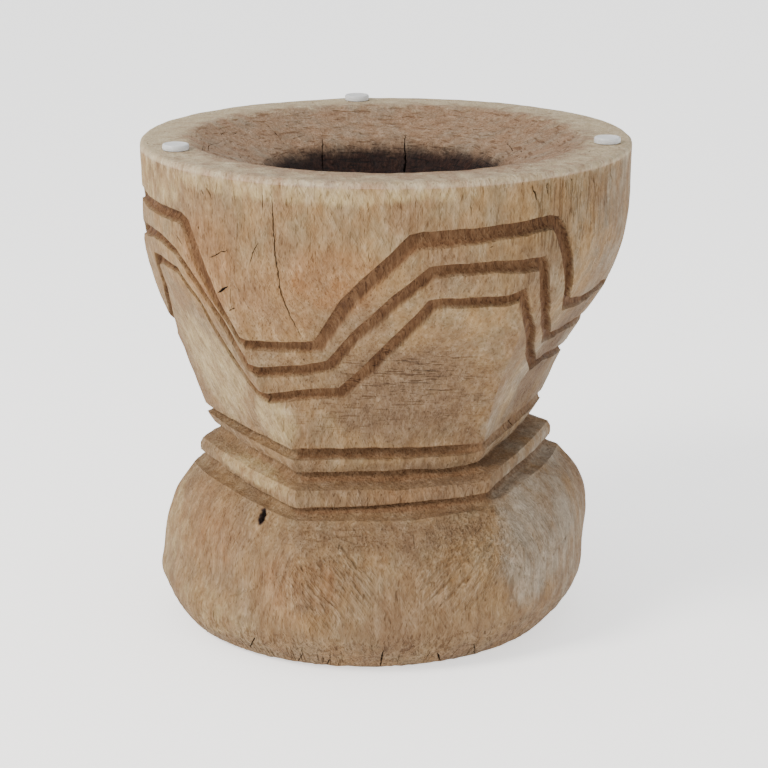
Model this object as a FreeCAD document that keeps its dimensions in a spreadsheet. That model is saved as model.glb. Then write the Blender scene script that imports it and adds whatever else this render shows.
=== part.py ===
"""Side table base: an old grain mortar carved out of one log, with clear bumpers on its rim.

Frame: millimetres, +Z up, -Y towards the viewer. The origin is on the floor, under the centre
of the rim. The log leans a little, so its foot stands to the left of the rim's centre.
Angles go round the log: 0 is the front (-Y), and they grow towards +X.
"""
import FreeCAD, Part
import math
import os
import Sketcher

os.makedirs("parts", exist_ok=True)
doc = FreeCAD.newDocument("mortar_side_table")
sheet = doc.addObject("Spreadsheet::Sheet", "Sizes")

# Driving sizes, in millimetres, degrees and shares
SIZES = {
    # the log as a whole
    "log_height": 475.0,
    "foot_offset": 18.5,
    # its foot, swelling base and neck
    "foot_radius": 176.0,
    "swell_radius": 211.0,
    "base_top_radius": 184.0,
    "base_height": 142.0,
    "base_top_bulge_share": 0.55,
    # the waist: three flutes with two ridges between them, from the bottom up
    "lower_flute_width": 10.0,
    "lower_flute_radius": 171.0,
    "lower_ridge_foot_radius": 178.0,
    "lower_ridge_width": 19.0,
    "lower_ridge_radius": 177.0,
    "lower_ridge_top_radius": 168.0,
    "middle_flute_width": 13.0,
    "middle_flute_radius": 154.0,
    "upper_ridge_foot_radius": 160.0,
    "upper_ridge_width": 15.0,
    "upper_ridge_radius": 164.0,
    "upper_ridge_top_radius": 161.0,
    "upper_flute_width": 8.0,
    "upper_flute_radius": 155.0,
    "lower_ridge_bulge_share": 0.3,
    "upper_ridge_bulge_share": 0.25,
    # the bowl above the waist, faceted below and round at the rim
    "bowl_foot_radius": 163.0,
    "bowl_foot_bulge_share": 0.2,
    "rim_radius": 235.0,
    "rim_edge_round": 9.0,
    # the hollow: a shallow funnel, then the pounding well
    "mouth_radius": 188.0,
    "funnel_drop": 25.5,
    "throat_radius": 109.0,
    "throat_bevel": 8.0,
    "throat_depth": 32.0,
    "well_radius": 93.0,
    "well_depth": 241.0,
    "well_wall_foot_height": 52.0,
    "well_floor_radius": 52.0,
    "well_floor_rise": 12.0,
    # the three zigzag grooves round the bowl
    "groove_width": 12.0,
    "groove_drop_width": 7.5,
    "groove_depth": 7.0,
    "groove_wall_run": 1.5,
    "groove_chip_overrun": 8.0,
    "pattern_start_angle": -50.0,
    "low_tilt_share": 0.03,
    "upper_groove_high_share": 0.83,
    "upper_groove_low_share": 0.395,
    "middle_groove_high_share": 0.715,
    "middle_groove_low_share": 0.31,
    "lower_groove_high_share": 0.60,
    "lower_groove_low_share": 0.225,
    # the clear bumpers and the adhesive under them
    "bumper_radius": 12.5,
    "bumper_thickness": 5.5,
    "adhesive_disc_radius": 11.5,
    "adhesive_disc_thickness": 0.5,
    "bumper_left_angle": -68.0,
    "bumper_left_inset": 25.5,
    "bumper_back_angle": -172.0,
    "bumper_back_inset": 21.5,
    "bumper_right_angle": 78.7,
    "bumper_right_inset": 23.0,
    # how far a cutting shape runs out past the wood
    "overrun": 4.0,
}

# The six corners of the log: angle at the waist, and its turn at the foot and at the rim
CORNER_ANGLES = {
    "left": (-86.0, 0.0, 0.0),
    "front_left": (-26.0, 12.0, -12.0),
    "front_right": (40.0, 9.0, -10.0),
    "right": (97.0, 0.0, 0.0),
    "back_right": (158.0, 0.0, 0.0),
    "back_left": (217.0, 0.0, 0.0),
}
for corner, turns in CORNER_ANGLES.items():
    for place, angle in zip(("waist_angle", "foot_turn_angle", "rim_turn_angle"), turns):
        SIZES[f"{corner}_{place}"] = angle

# Sections of the base and the bowl: share of the height, share of the way to the widest
# radius, share of the foot's offset to the left, and share of a full circle's bulge between
# the corners
BASE_SHARES = (
    (0, 0, 0.95, 1),
    (0.094, 0.45, 0.89, 1),
    (0.25, 0.92, 0.74, 0.95),
    (0.47, 1, 0.51, 0.8),
    (0.69, 0.945, 0.34, 0.7),
    (0.88, 0.55, 0.32, 0.6),
)
BOWL_SHARES = (
    (0.179, 0.28, 0.5, 0.22),
    (0.31, 0.52, 0.28, 0.3),
    (0.459, 0.803, 0.03, 0.45),
    (0.608, 0.958, 0, 0.75),
    (0.757, 0.985, 0, 1),
)
WAIST_ASIDE_SHARES = {"base": 0.4, "lower": 0.45, "middle": 0.52, "upper": 0.6, "bowl": 0.65}
RIM_ROLL_ANGLES = {"rim_roll": 45, "rim_top": 90}

# The zigzag of each groove: where its upper run ends after the start of a repeat, then the
# angles that its drop, its low run and its rise take
GROOVE_ANGLES = {
    "upper": (0.0, 12.0, 21.0, 24.0),
    "middle": (-2.0, 15.0, 23.5, 24.5),
    "lower": (-4.0, 19.0, 23.0, 24.0),
}
# The low runs of the four repeats don't lie at one height: front, right, back and left
LOW_SHIFT_SHARES = (0, 0.07, 0.03, 0.04)
STATION_STEP_ANGLE = 12.0
STATION_STEP_SHARE = 0.16
STATION_GAP_SHARE = 0.15
FULL_TURN_ANGLE = 360.0

for row, (alias, value) in enumerate(SIZES.items(), start=1):
    sheet.set(f"A{row}", alias.replace("_", " "))
    sheet.set(f"B{row}", str(value))
    sheet.setAlias(f"B{row}", alias)
doc.recompute()


def size(expression):
    """The number that an expression on the sheet comes to."""
    value = log_body.evalExpression(expression)
    return float(getattr(value, "Value", value))


def origin_plane(body, role):
    """One of a body's own origin planes."""
    return next(feature for feature in body.Origin.OriginFeatures if feature.Role == role)


def new_sketch(body, name, role):
    """An empty sketch on one of the body's origin planes."""
    sketch = body.newObject("Sketcher::SketchObject", name)
    sketch.AttachmentSupport = [(origin_plane(body, role), "")]
    sketch.MapMode = "FlatFace"
    return sketch


def bind(sketch, kind, *arguments, expression):
    """Adds a constraint whose value follows an expression on the sheet."""
    index = sketch.addConstraint(Sketcher.Constraint(kind, *arguments, size(expression)))
    sketch.setExpression(f"Constraints[{index}]", expression)


def closed_profile(sketch, points):
    """Straight lines round the points, each given as two expressions, with bound corners."""
    corners = [FreeCAD.Vector(size(across), size(up), 0) for across, up in points]
    count = len(corners)
    for index in range(count):
        sketch.addGeometry(Part.LineSegment(corners[index], corners[(index + 1) % count]), False)
    for index in range(count):
        sketch.addConstraint(Sketcher.Constraint("Coincident", index, 2, (index + 1) % count, 1))
    for index, (across, up) in enumerate(points):
        bind(sketch, "DistanceX", -1, 1, index, 1, expression=across)
        bind(sketch, "DistanceY", -1, 1, index, 1, expression=up)


def check(feature, more_than=None, less_than=None):
    """Stops if a feature failed, or left the volume where it should have changed it."""
    doc.recompute()
    volume = feature.Shape.Volume
    grown = more_than is None or volume > more_than
    cut = less_than is None or volume < less_than
    if not (feature.Shape.isValid() and grown and cut):
        raise RuntimeError(f"{feature.Name} failed: volume {volume:.0f}")
    return volume


# The log: its outline is a stack of sections, each of six arcs between the log's corners
log_body = doc.addObject("PartDesign::Body", "log_blank")
log_body.Label = "log_blank"
doc.recompute()

WAIST = "Sizes.base_height"
BOWL_FOOT = (
    "(Sizes.base_height + Sizes.lower_flute_width + Sizes.lower_ridge_width"
    " + Sizes.middle_flute_width + Sizes.upper_ridge_width + Sizes.upper_flute_width)"
)
BOWL_HEIGHT = f"(Sizes.log_height - {BOWL_FOOT})"
MIDDLE_SHARE = "0.5"


def between(low, high, share):
    """An expression for the place a share of the way from one expression to another."""
    return f"({low} + ({high} - {low}) * {share})"


def corner_angle(corner, height, in_base):
    """An expression for the angle of one of the log's corners at a height."""
    waist = f"Sizes.{corner}_waist_angle"
    if in_base:
        return f"({waist} + Sizes.{corner}_foot_turn_angle * (1 - {height} / {WAIST}))"
    up = f"({height} - {WAIST}) / (Sizes.log_height - {WAIST})"
    return f"({waist} + Sizes.{corner}_rim_turn_angle * {up})"


def aside(share):
    """An expression for the X of a section's centre: the log leans from its foot to its rim."""
    return f"(-Sizes.foot_offset * {share})"


def log_sections():
    """Every section from the floor up: name, then expressions for height, radius, bulge and X."""
    rows = []
    for index, (up, out, left, bulge) in enumerate(BASE_SHARES):
        height = f"(Sizes.base_height * {up})"
        start = "Sizes.foot_radius" if index < len(BASE_SHARES) / 2 else "Sizes.base_top_radius"
        radius = between(start, "Sizes.swell_radius", out)
        rows.append((f"base_{index}", height, radius, f"{bulge}", aside(left)))
    waist = [("base_top", WAIST, "base_top", "base_top")]
    height = WAIST
    for band in ("lower_flute", "lower_ridge", "middle_flute", "upper_ridge", "upper_flute"):
        bulge = "lower_ridge" if band.startswith("lower") else "upper_ridge"
        waist.append((f"{band}_middle", f"({height} + Sizes.{band}_width * {MIDDLE_SHARE})", band, bulge))
        height = f"({height} + Sizes.{band}_width)"
        if band.endswith("ridge"):
            waist.append((f"{band}_top", height, f"{band}_top", bulge))
        elif band != "upper_flute":
            above = band.replace("flute", "ridge").replace("middle", "upper")
            waist.append((f"{above}_foot", height, f"{above}_foot", bulge))
    waist.append(("bowl_foot", height, "bowl_foot", "bowl_foot"))
    for name, height, radius, bulge in waist:
        left = WAIST_ASIDE_SHARES[name.split("_")[0]]
        rows.append((name, height, f"Sizes.{radius}_radius", f"Sizes.{bulge}_bulge_share", aside(left)))
    for index, (up, out, left, bulge) in enumerate(BOWL_SHARES):
        height = between(BOWL_FOOT, "Sizes.log_height", up)
        radius = between("Sizes.bowl_foot_radius", "Sizes.rim_radius", out)
        rows.append((f"bowl_{index}", height, radius, f"{bulge}", aside(left)))
    rim = "(Sizes.log_height - Sizes.rim_edge_round)"
    rows.append(("rim_edge", rim, "Sizes.rim_radius", "1", "0"))
    for name, angle in RIM_ROLL_ANGLES.items():
        height = f"({rim} + Sizes.rim_edge_round * sin({angle}))"
        radius = f"(Sizes.rim_radius - Sizes.rim_edge_round * (1 - cos({angle})))"
        rows.append((name, height, radius, "1", "0"))
    return rows


def section_sketch(name, height, radius, bulge, centre):
    """A closed outline of six arcs. Bulge 1 makes it a circle, and near 0 a hexagon."""
    sketch = new_sketch(log_body, name, "XY_Plane")
    sketch.setExpression("AttachmentOffset.Base.z", height)
    in_base = name.startswith("base")
    angles = [corner_angle(corner, height, in_base) for corner in CORNER_ANGLES]
    corners = [(f"{centre} + {radius} * sin({a})", f"-{radius} * cos({a})") for a in angles]
    halves = []
    for index, angle in enumerate(angles):
        following = angles[index + 1] if index + 1 < len(angles) else f"({angles[0]} + {FULL_TURN_ANGLE})"
        halves.append((f"(({following} - {angle}) / 2)", f"(({following} + {angle}) / 2)"))
    points = [FreeCAD.Vector(size(x), size(y), 0) for x, y in corners]
    count = len(points)
    for index, (half, middle) in enumerate(halves):
        reach = f"{radius} * (cos({half}) + {bulge} * (1 - cos({half})))"
        crown = (size(f"{centre} + {reach} * sin({middle})"), size(f"-{reach} * cos({middle})"))
        arc = Part.Arc(points[index], FreeCAD.Vector(*crown, 0), points[(index + 1) % count])
        sketch.addGeometry(arc, False)
    for index in range(count):
        sketch.addConstraint(Sketcher.Constraint("Coincident", index, 2, (index + 1) % count, 1))
    for index, (x, y) in enumerate(corners):
        half = halves[index][0]
        bind(sketch, "DistanceX", -1, 1, index, 1, expression=x)
        bind(sketch, "DistanceY", -1, 1, index, 1, expression=y)
        curve = f"{radius} * ((1 + cos({half})) / (2 * {bulge}) + {bulge} * (1 - cos({half})) / 2)"
        bind(sketch, "Radius", index, expression=curve)
    return sketch


SECTIONS = log_sections()
sketches = {row[0]: section_sketch(*row) for row in SECTIONS}

# One ruled loft joins the sections, so the carving can be worked out on its straight runs
names = list(sketches)
log_loft = log_body.newObject("PartDesign::AdditiveLoft", "log_outline")
log_loft.Profile = (sketches[names[0]], [""])
log_loft.Sections = [(sketches[name], [""]) for name in names[1:]]
log_loft.Ruled = True
volume = check(log_loft, more_than=0)

# The hollow: one profile turned about the rim's centre, from the well's floor up to its mouth
hollow_sketch = new_sketch(log_body, "hollow_profile", "XZ_Plane")
floor_height = "Sizes.log_height - Sizes.well_depth"
throat_height = "Sizes.log_height - Sizes.funnel_drop"
top = "Sizes.log_height + Sizes.overrun"
funnel_run = "(Sizes.mouth_radius - Sizes.throat_radius - Sizes.throat_bevel)"
mouth = f"Sizes.mouth_radius + Sizes.overrun * {funnel_run} / Sizes.funnel_drop"
closed_profile(hollow_sketch, (
    ("0", top),
    ("0", floor_height),
    ("Sizes.well_floor_radius", f"{floor_height} + Sizes.well_floor_rise"),
    ("Sizes.well_radius", f"{floor_height} + Sizes.well_wall_foot_height"),
    ("Sizes.well_radius", f"{throat_height} - Sizes.throat_depth"),
    ("Sizes.throat_radius", f"{throat_height} - Sizes.throat_bevel"),
    ("Sizes.throat_radius + Sizes.throat_bevel", throat_height),
    (mouth, top),
))
hollow = log_body.newObject("PartDesign::Groove", "hollow")
hollow.Profile = (hollow_sketch, [""])
hollow.ReferenceAxis = (hollow_sketch, ["V_Axis"])
hollow.Angle = FULL_TURN_ANGLE
volume = check(hollow, less_than=volume)

# The same sections as numbers, to find the wood's surface for the carving
LEVELS = []
for name, height, radius, bulge, centre in SECTIONS:
    angles = [size(corner_angle(corner, height, name.startswith("base"))) for corner in CORNER_ANGLES]
    LEVELS.append((size(height), size(radius), size(bulge), size(centre), angles))


def level_at(height):
    """The log's section at a height: radius, bulge share, X of its centre, corner angles."""
    low = max(index for index, level in enumerate(LEVELS[:-1]) if level[0] <= height)
    share = (height - LEVELS[low][0]) / (LEVELS[low + 1][0] - LEVELS[low][0])
    radius, bulge, centre = (
        (1 - share) * LEVELS[low][item] + share * LEVELS[low + 1][item] for item in (1, 2, 3))
    angles = [(1 - share) * a + share * b for a, b in zip(LEVELS[low][4], LEVELS[low + 1][4])]
    return radius, bulge, centre, angles


def wood_radius(angle, height):
    """Distance from the log's centre line to its surface, before carving, and the centre's X."""
    radius, bulge, centre, angles = level_at(height)
    angle = angles[0] + (angle - angles[0]) % FULL_TURN_ANGLE
    angles.append(angles[0] + FULL_TURN_ANGLE)
    side = max(index for index in range(len(CORNER_ANGLES)) if angles[index] <= angle)
    half = math.radians(angles[side + 1] - angles[side]) / 2
    off = math.radians(angle - (angles[side + 1] + angles[side]) / 2)
    arc = radius * ((1 + math.cos(half)) / (2 * bulge) + bulge * (1 - math.cos(half)) / 2)
    back = radius * (math.cos(half) + bulge * (1 - math.cos(half))) - arc
    return back * math.cos(off) + math.sqrt(arc ** 2 - (back * math.sin(off)) ** 2), centre


def wood_point(angle, height):
    """A point on the log's surface before carving."""
    reach, centre = wood_radius(angle, height)
    turn = math.radians(angle)
    return FreeCAD.Vector(centre + reach * math.sin(turn), -reach * math.cos(turn), height)


def outward(angle, height):
    """The direction square to the surface there, taken over a groove's width."""
    step = size("Sizes.groove_width")
    across = math.degrees(step / size("Sizes.rim_radius"))
    along = wood_point(angle + across, height) - wood_point(angle - across, height)
    upward = wood_point(angle, height + step / 2) - wood_point(angle, height - step / 2)
    return along.cross(upward).normalize()


def leg_shares(angle, height, next_angle, next_height):
    """Where a leg of the zigzag bends to follow the wood: in even steps and at the log's corners."""
    turn = next_angle - angle
    climb = abs(next_height - height) / size(BOWL_HEIGHT)
    parts = math.ceil(max(turn / STATION_STEP_ANGLE, climb / STATION_STEP_SHARE))
    crossings = []
    for corner in level_at((height + next_height) / 2)[-1]:
        share = (corner - angle) % FULL_TURN_ANGLE / turn
        if STATION_GAP_SHARE < share < 1 - STATION_GAP_SHARE:
            crossings.append(share)
    steps = [part / parts for part in range(1, parts)]
    clear = [step for step in steps if all(abs(step - share) > STATION_GAP_SHARE for share in crossings)]
    return sorted(crossings + clear)


def zigzag_stations(groove):
    """Angle, height and width of every station of one groove, once round the log."""
    start, drop, low, rise = GROOVE_ANGLES[groove]
    foot, tall = size(BOWL_FOOT), size(BOWL_HEIGHT)
    high_share = size(f"Sizes.{groove}_groove_high_share")
    low_share = size(f"Sizes.{groove}_groove_low_share")
    tilt_share = size("Sizes.low_tilt_share")
    wide, narrow = size("Sizes.groove_width"), size("Sizes.groove_drop_width")
    corners = []
    for index, shift in enumerate(LOW_SHIFT_SHARES):
        angle = size("Sizes.pattern_start_angle") + index * FULL_TURN_ANGLE / len(LOW_SHIFT_SHARES) + start
        low_here = low_share + shift
        legs = ((0, high_share, narrow), (drop, low_here, wide), (low, low_here + tilt_share, wide),
                (rise, high_share, wide))
        for turn, share, leg_width in legs:
            angle += turn
            corners.append((angle, foot + tall * share, leg_width))
    corners.append((corners[0][0] + FULL_TURN_ANGLE, corners[0][1], narrow))
    stations = []
    for (angle, height, leg_width), (next_angle, next_height, _) in zip(corners, corners[1:]):
        stations.append((angle, height, (wide + leg_width) / 2))
        for share in leg_shares(angle, height, next_angle, next_height):
            stations.append((angle + (next_angle - angle) * share, height + (next_height - height) * share,
                             leg_width))
    return stations


def groove_cutter(groove):
    """The chip that is carved away: steep above, easing out below, mitred at each turn."""
    depth, run, over = (
        size(f"Sizes.{name}") for name in ("groove_depth", "groove_wall_run", "groove_chip_overrun"))
    stations = zigzag_stations(groove)
    points = [wood_point(angle, height) for angle, height, _ in stations]
    count = len(points)
    triangles = []
    for index, (angle, height, width) in enumerate(stations):
        before = (points[index] - points[index - 1]).normalize()
        after = (points[(index + 1) % count] - points[index]).normalize()
        along = (before + after).normalize()
        out = outward(angle, height)
        down = along.cross(out).normalize() / before.dot(along)
        lip = points[index]
        bottom = lip - out * depth + down * run
        ease = lip + down * width
        past = 1 + over / depth
        triangles.append((bottom + (lip - bottom) * past, bottom, bottom + (ease - bottom) * past))
    faces = []
    for index in range(count):
        here, there = triangles[index], triangles[(index + 1) % count]
        for side in range(len(here)):
            start = Part.makeLine(here[side], here[(side + 1) % len(here)])
            end = Part.makeLine(there[side], there[(side + 1) % len(there)])
            faces.append(Part.makeRuledSurface(start, end))
    shell = Part.makeShell(faces)
    shell.sewShape()
    return Part.makeSolid(Part.makeShell(shell.Faces))


cutters = []
for groove in GROOVE_ANGLES:
    cutter = doc.addObject("Part::Feature", f"{groove}_groove_chip")
    cutter.Shape = groove_cutter(groove)
    cutters.append(cutter)
chips = doc.addObject("Part::Compound", "groove_chips")
chips.Links = cutters
carved_log = doc.addObject("Part::Cut", "carved_log_body")
carved_log.Base = log_body
carved_log.Tool = chips
carved_log.Label = "carved_log_body"
check(carved_log, less_than=volume)

# The bumpers: clear soft discs, each with its own film of adhesive on the rim
BUMPERS = ("left", "back", "right")


def seat_on_rim(body, place, height):
    """Puts a body at a bumper's place on the rim."""
    angle = f"Sizes.bumper_{place}_angle"
    reach = f"(Sizes.rim_radius - Sizes.bumper_{place}_inset)"
    body.setExpression("Placement.Base.x", f"{reach} * sin({angle})")
    body.setExpression("Placement.Base.y", f"-{reach} * cos({angle})")
    body.setExpression("Placement.Base.z", height)


def disc(piece, place, height):
    """One round disc of a bumper: the soft clear pad, or the film of adhesive under it."""
    body = doc.addObject("PartDesign::Body", f"{piece}_{place}")
    sketch = new_sketch(body, f"{piece}_outline_{place}", "XY_Plane")
    radius = f"Sizes.{piece}_radius"
    sketch.addGeometry(Part.Circle(FreeCAD.Vector(), FreeCAD.Vector(0, 0, 1), size(radius)), False)
    sketch.addConstraint(Sketcher.Constraint("Coincident", 0, 3, -1, 1))
    bind(sketch, "Radius", 0, expression=radius)
    pad = body.newObject("PartDesign::Pad", f"{piece}_pad_{place}")
    pad.Profile = (sketch, [""])
    pad.setExpression("Length", f"Sizes.{piece}_thickness")
    seat_on_rim(body, place, height)
    check(body, more_than=0)
    return body


pieces = [carved_log]
for place in BUMPERS:
    pieces.append(disc("adhesive_disc", place, "Sizes.log_height"))
    pieces.append(disc("bumper", place, "Sizes.log_height + Sizes.adhesive_disc_thickness"))

# Everything is checked before anything is written
doc.recompute()
for item in doc.Objects:
    if {"Invalid", "Error"} & set(item.State):
        raise RuntimeError(f"{item.Name} failed: {item.State}")
for piece in pieces:
    if piece.Shape.isNull() or not piece.Shape.isValid():
        raise RuntimeError(f"{piece.Label} has no valid shape")
for piece in pieces:
    box = piece.Shape.BoundBox
    print(f"{piece.Label}: {len(piece.Shape.Solids)} solid, {piece.Shape.Volume:.0f} mm3, "
          f"z {box.ZMin:.1f} to {box.ZMax:.1f}")
    piece.Shape.exportStep(f"parts/{piece.Label}.step")
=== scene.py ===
# %% [markdown]
# An old grain mortar, carved from one log, stands as a side table base. This lesson dresses its
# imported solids: the wood gets its real carving, cracks and tool marks, and the clear bumpers on
# its rim get their rounded shape. Lengths are worked out in millimetres, and angles go round the
# log from the front (-Y) towards +X.

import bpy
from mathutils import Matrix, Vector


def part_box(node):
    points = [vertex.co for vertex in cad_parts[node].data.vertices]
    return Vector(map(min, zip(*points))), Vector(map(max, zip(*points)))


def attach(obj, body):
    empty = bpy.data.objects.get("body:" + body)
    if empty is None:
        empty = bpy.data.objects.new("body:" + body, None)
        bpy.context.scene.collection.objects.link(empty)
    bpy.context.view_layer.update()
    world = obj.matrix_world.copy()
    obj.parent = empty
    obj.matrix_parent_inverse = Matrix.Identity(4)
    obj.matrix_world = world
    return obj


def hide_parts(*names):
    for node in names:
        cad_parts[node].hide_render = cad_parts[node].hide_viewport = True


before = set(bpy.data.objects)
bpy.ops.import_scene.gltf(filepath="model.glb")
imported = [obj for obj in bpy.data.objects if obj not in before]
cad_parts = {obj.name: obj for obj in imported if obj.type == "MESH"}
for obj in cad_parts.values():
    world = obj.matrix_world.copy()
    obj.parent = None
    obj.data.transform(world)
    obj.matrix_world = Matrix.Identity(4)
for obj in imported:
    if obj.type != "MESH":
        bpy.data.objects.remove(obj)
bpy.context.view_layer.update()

import math

import bpy
import numpy as np
from mathutils import Vector, geometry, kdtree

MM = 0.001
TURN = 2 * math.pi
scene = bpy.context.scene
print("nodes:", sorted(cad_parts))

# %% [markdown]
# The camera stands where the photographer stood: in front of the table, a little above it, with
# a long lens.

# %% Camera
camera_data = bpy.data.cameras.new("photographer_camera")
SENSOR, FRAME_PIXELS, FOCAL_PIXELS = 36.0, 768, 2540
camera_data.sensor_width = SENSOR
camera_data.lens = SENSOR * FOCAL_PIXELS / FRAME_PIXELS
camera_data.clip_end = 50.0
camera = bpy.data.objects.new("photographer_camera", camera_data)
camera.location = (-0.0017, -2.4, 0.892)
LOOKS_DOWN = 15.45
camera.rotation_euler = (math.radians(90 - LOOKS_DOWN), 0, 0)
scene.collection.objects.link(camera)
scene.camera = camera
print("lens:", round(camera_data.lens, 1), "mm")

# %% [markdown]
# A shader or a Geometry Nodes tree is a list of nodes with links. One small helper adds a node,
# sets its properties and fills its sockets, either with a plain value or with a link. Colours are
# written as the hex codes a painter would pick, and turned into linear light by one function.


# %% Helpers for nodes and colours
def linear(code):
    """Linear RGBA of an sRGB colour such as "#b08a60"."""
    parts = [int(code[start:start + 2], 16) / 255 for start in (1, 3, 5)]
    return (*(part / 12.92 if part <= 0.04045 else ((part + 0.055) / 1.055) ** 2.4 for part in parts), 1)


def add_node(tree, kind, inputs=None, **properties):
    """Adds a node, sets its properties, and fills its sockets with values or links."""
    node = tree.nodes.new(kind)
    for name, value in properties.items():
        setattr(node, name, value)
    for name, value in (inputs or {}).items():
        socket = node.inputs[name]
        if isinstance(value, bpy.types.NodeSocket):
            tree.links.new(value, socket)
        else:
            socket.default_value = value
    return node


def new_material(name):
    """An empty node material and its tree, with only the output node."""
    material = bpy.data.materials.new(name)
    material.use_nodes = True
    material.node_tree.nodes.clear()
    return material, material.node_tree


print("tan:", [round(part, 3) for part in linear("#b08a60")])

# %% [markdown]
# The floor is pale and plain, and the light is a studio's: one big soft lamp from the front left
# and above, a weak one from the right, and bright surroundings.


# %% Floor, lamps and surroundings
def add_lamp(name, place, target, size, power, colour):
    """A soft square lamp that points from its place to a target."""
    lamp_data = bpy.data.lights.new(name, "AREA")
    lamp_data.size = size
    lamp_data.energy = power
    lamp_data.color = linear(colour)[:3]
    lamp = bpy.data.objects.new(name, lamp_data)
    lamp.location = place
    lamp.rotation_euler = (Vector(target) - Vector(place)).to_track_quat("-Z", "Y").to_euler()
    scene.collection.objects.link(lamp)


floor_material, tree = new_material("white_painted_studio_floor")
shader = add_node(tree, "ShaderNodeBsdfPrincipled", {
    "Base Color": linear("#f8f8f7"), "Roughness": 0.9, "Emission Color": linear("#ffffff"),
    "Emission Strength": 1.15})
add_node(tree, "ShaderNodeOutputMaterial", {"Surface": shader.outputs["BSDF"]})
floor_mesh = bpy.data.meshes.new("studio_floor")
FLOOR_REACH = 12
floor_corners = [(x * FLOOR_REACH, y * FLOOR_REACH, 0) for x, y in ((-1, -1), (1, -1), (1, 1), (-1, 1))]
floor_mesh.from_pydata(floor_corners, [], [(0, 1, 2, 3)])
floor_mesh.materials.append(floor_material)
floor = bpy.data.objects.new("studio_floor", floor_mesh)
scene.collection.objects.link(floor)

world = bpy.data.worlds.new("studio_surroundings")
world.use_nodes = True
world.node_tree.nodes["Background"].inputs["Color"].default_value = linear("#ffffff")
world.node_tree.nodes["Background"].inputs["Strength"].default_value = 1.05
scene.world = world
add_lamp("key_lamp", (-2.1, -1.7, 2.4), (0, 0, 0.25), 1.2, 122, "#fff8f0")
add_lamp("fill_lamp", (2.2, -1.6, 1.3), (0, 0, 0.25), 1.6, 3, "#fbfaf7")

# %% [markdown]
# The log's outline is a rule. At every height it has a corner radius, a bulge (0 gives flat
# facets between six corners, 1 a full circle) and the X of its centre, because the log leans.
# The base and the bowl swell smoothly; the waist between them has straight flutes and ridges.

# %% Tables for the outline
RIM_RADIUS, RIM_LOW, RIM_ROUND = 234.8, 470, 5
RIM_TOP = RIM_LOW + RIM_ROUND
# height, corner radius, bulge, X of the centre
BASE = (
    (0, 176, 1, -17.6), (13.3, 191.8, 1, -16.5), (35.5, 208.2, 0.86, -13.7), (66.7, 211, 0.66, -9.4),
    (98, 209.5, 0.56, -6.3), (125, 198.9, 0.53, -5.9), (142, 184, 0.55, -7.4))
WAIST = (
    (142, 184, 0.55, -7.4), (143.4, 177.5, 0.45, -8.3), (147.5, 173, 0.4, -8.3), (150.8, 171, 0.3, -8.3),
    (152, 177.5, 0.25, -8.3), (156, 178.5, 0.25, -8.3), (163, 178.5, 0.25, -8.3),
    (169.6, 175.5, 0.25, -8.3), (171, 172, 0.25, -8.6), (174.4, 160.5, 0.25, -9.2), (178, 156, 0.25, -9.6),
    (182.4, 152, 0.25, -11.1), (184, 159, 0.25, -11.1), (188, 161, 0.25, -11.1), (194, 163.5, 0.25, -11.1),
    (199, 164, 0.25, -11.1), (200.8, 157.5, 0.25, -11.1), (205.2, 153.5, 0.2, -11.1), (207, 163, 0.2, -12))
BOWL = (
    (207, 163, 0.2, -12), (255, 183.2, 0.22, -9.3), (290.1, 200.4, 0.3, -5.2), (330, 220.8, 0.45, -0.6),
    (369.9, 232, 0.75, 0), (410, 233.7, 1, 0), (440, 234.3, 1, 0), (RIM_LOW, RIM_RADIUS, 1, 0))
WAIST_LOW, WAIST_MIDDLE, WAIST_HIGH = 142, 171, 207
LEVEL_TOP = 330
# each corner's angle at the foot, at the base's top, at the bowl's foot, at the bowl's middle and
# at the rim, then how much further out than the rule it stands at the swell of the base and at
# the waist's low, middle and high level
CORNERS = (
    (-86, -86, -86, -86, -86, 0, -2, -3, 2), (-12, -24.5, -27, -37, -40, 0, 0, 0, 5),
    (50, 37, 41.2, 35.5, 29, 0, -6, -6, -5), (97, 97, 97, 97, 97, 0, -4, -4, 5),
    (158, 158, 158, 158, 158, 0, 0, 0, 0), (217, 217, 217, 217, 217, 0, 0, 0, 0))
# the waist's lines don't lie level: angle, then the lift in millimetres at each of five levels
LIFT_LEVELS = (142, 152, 171, 184, 207)
LIFTS = (
    (-86, 13, 12.5, 9.5, 9, 5.5), (-72, 12.2, 11, 7.8, 7.8, 3.7), (-57, 12, 7.2, 5.8, 4.1, 2.4),
    (-49, 10, 4.9, 4.5, 2.6, 1.9), (-39, 6.6, 2.9, 3, 0.9, 1), (-30, 2.8, 0.6, 1.6, -1.3, -0.8),
    (-26, 2.9, 0, 1.1, -2.1, -0.9), (-10, 3.5, 1.5, 0.8, -1.7, -1.9), (8, 3.2, 2.4, -0.5, -3.1, -3),
    (17, 4.4, 3.5, 0.3, -2.5, -3.7), (30, 6, 5.4, 0.4, -3.5, -4.2), (36, 7.2, 6.7, 2, -2.3, -4.1),
    (41, 11.5, 9.8, 7.5, 0.8, -3.2), (48, 16, 14, 11, 2.2, 0.5), (58, 20, 16.7, 12.7, 5.2, 4),
    (68, 21, 18, 14.5, 6.4, 5.3), (80, 20.8, 19, 16, 9, 5.6), (97, 20, 19, 17, 14, 9),
    (158, 12, 12, 12, 10.6, 8), (217, 4, 4, 4, 3.6, 3))
# the rim's flat top and the hollow, from the rim inwards: radius, height
HOLLOW = ((RIM_RADIUS - RIM_ROUND, RIM_TOP), (188, RIM_TOP), (117, 449.5), (109, 441.5), (93, 417.5),
          (93, 286), (52, 246), (6, 235.4))
# the sole's edge is worn round: how high up, and how many millimetres it loses
SOLE_EDGE, SOLE_WEAR = 5, 4
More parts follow.
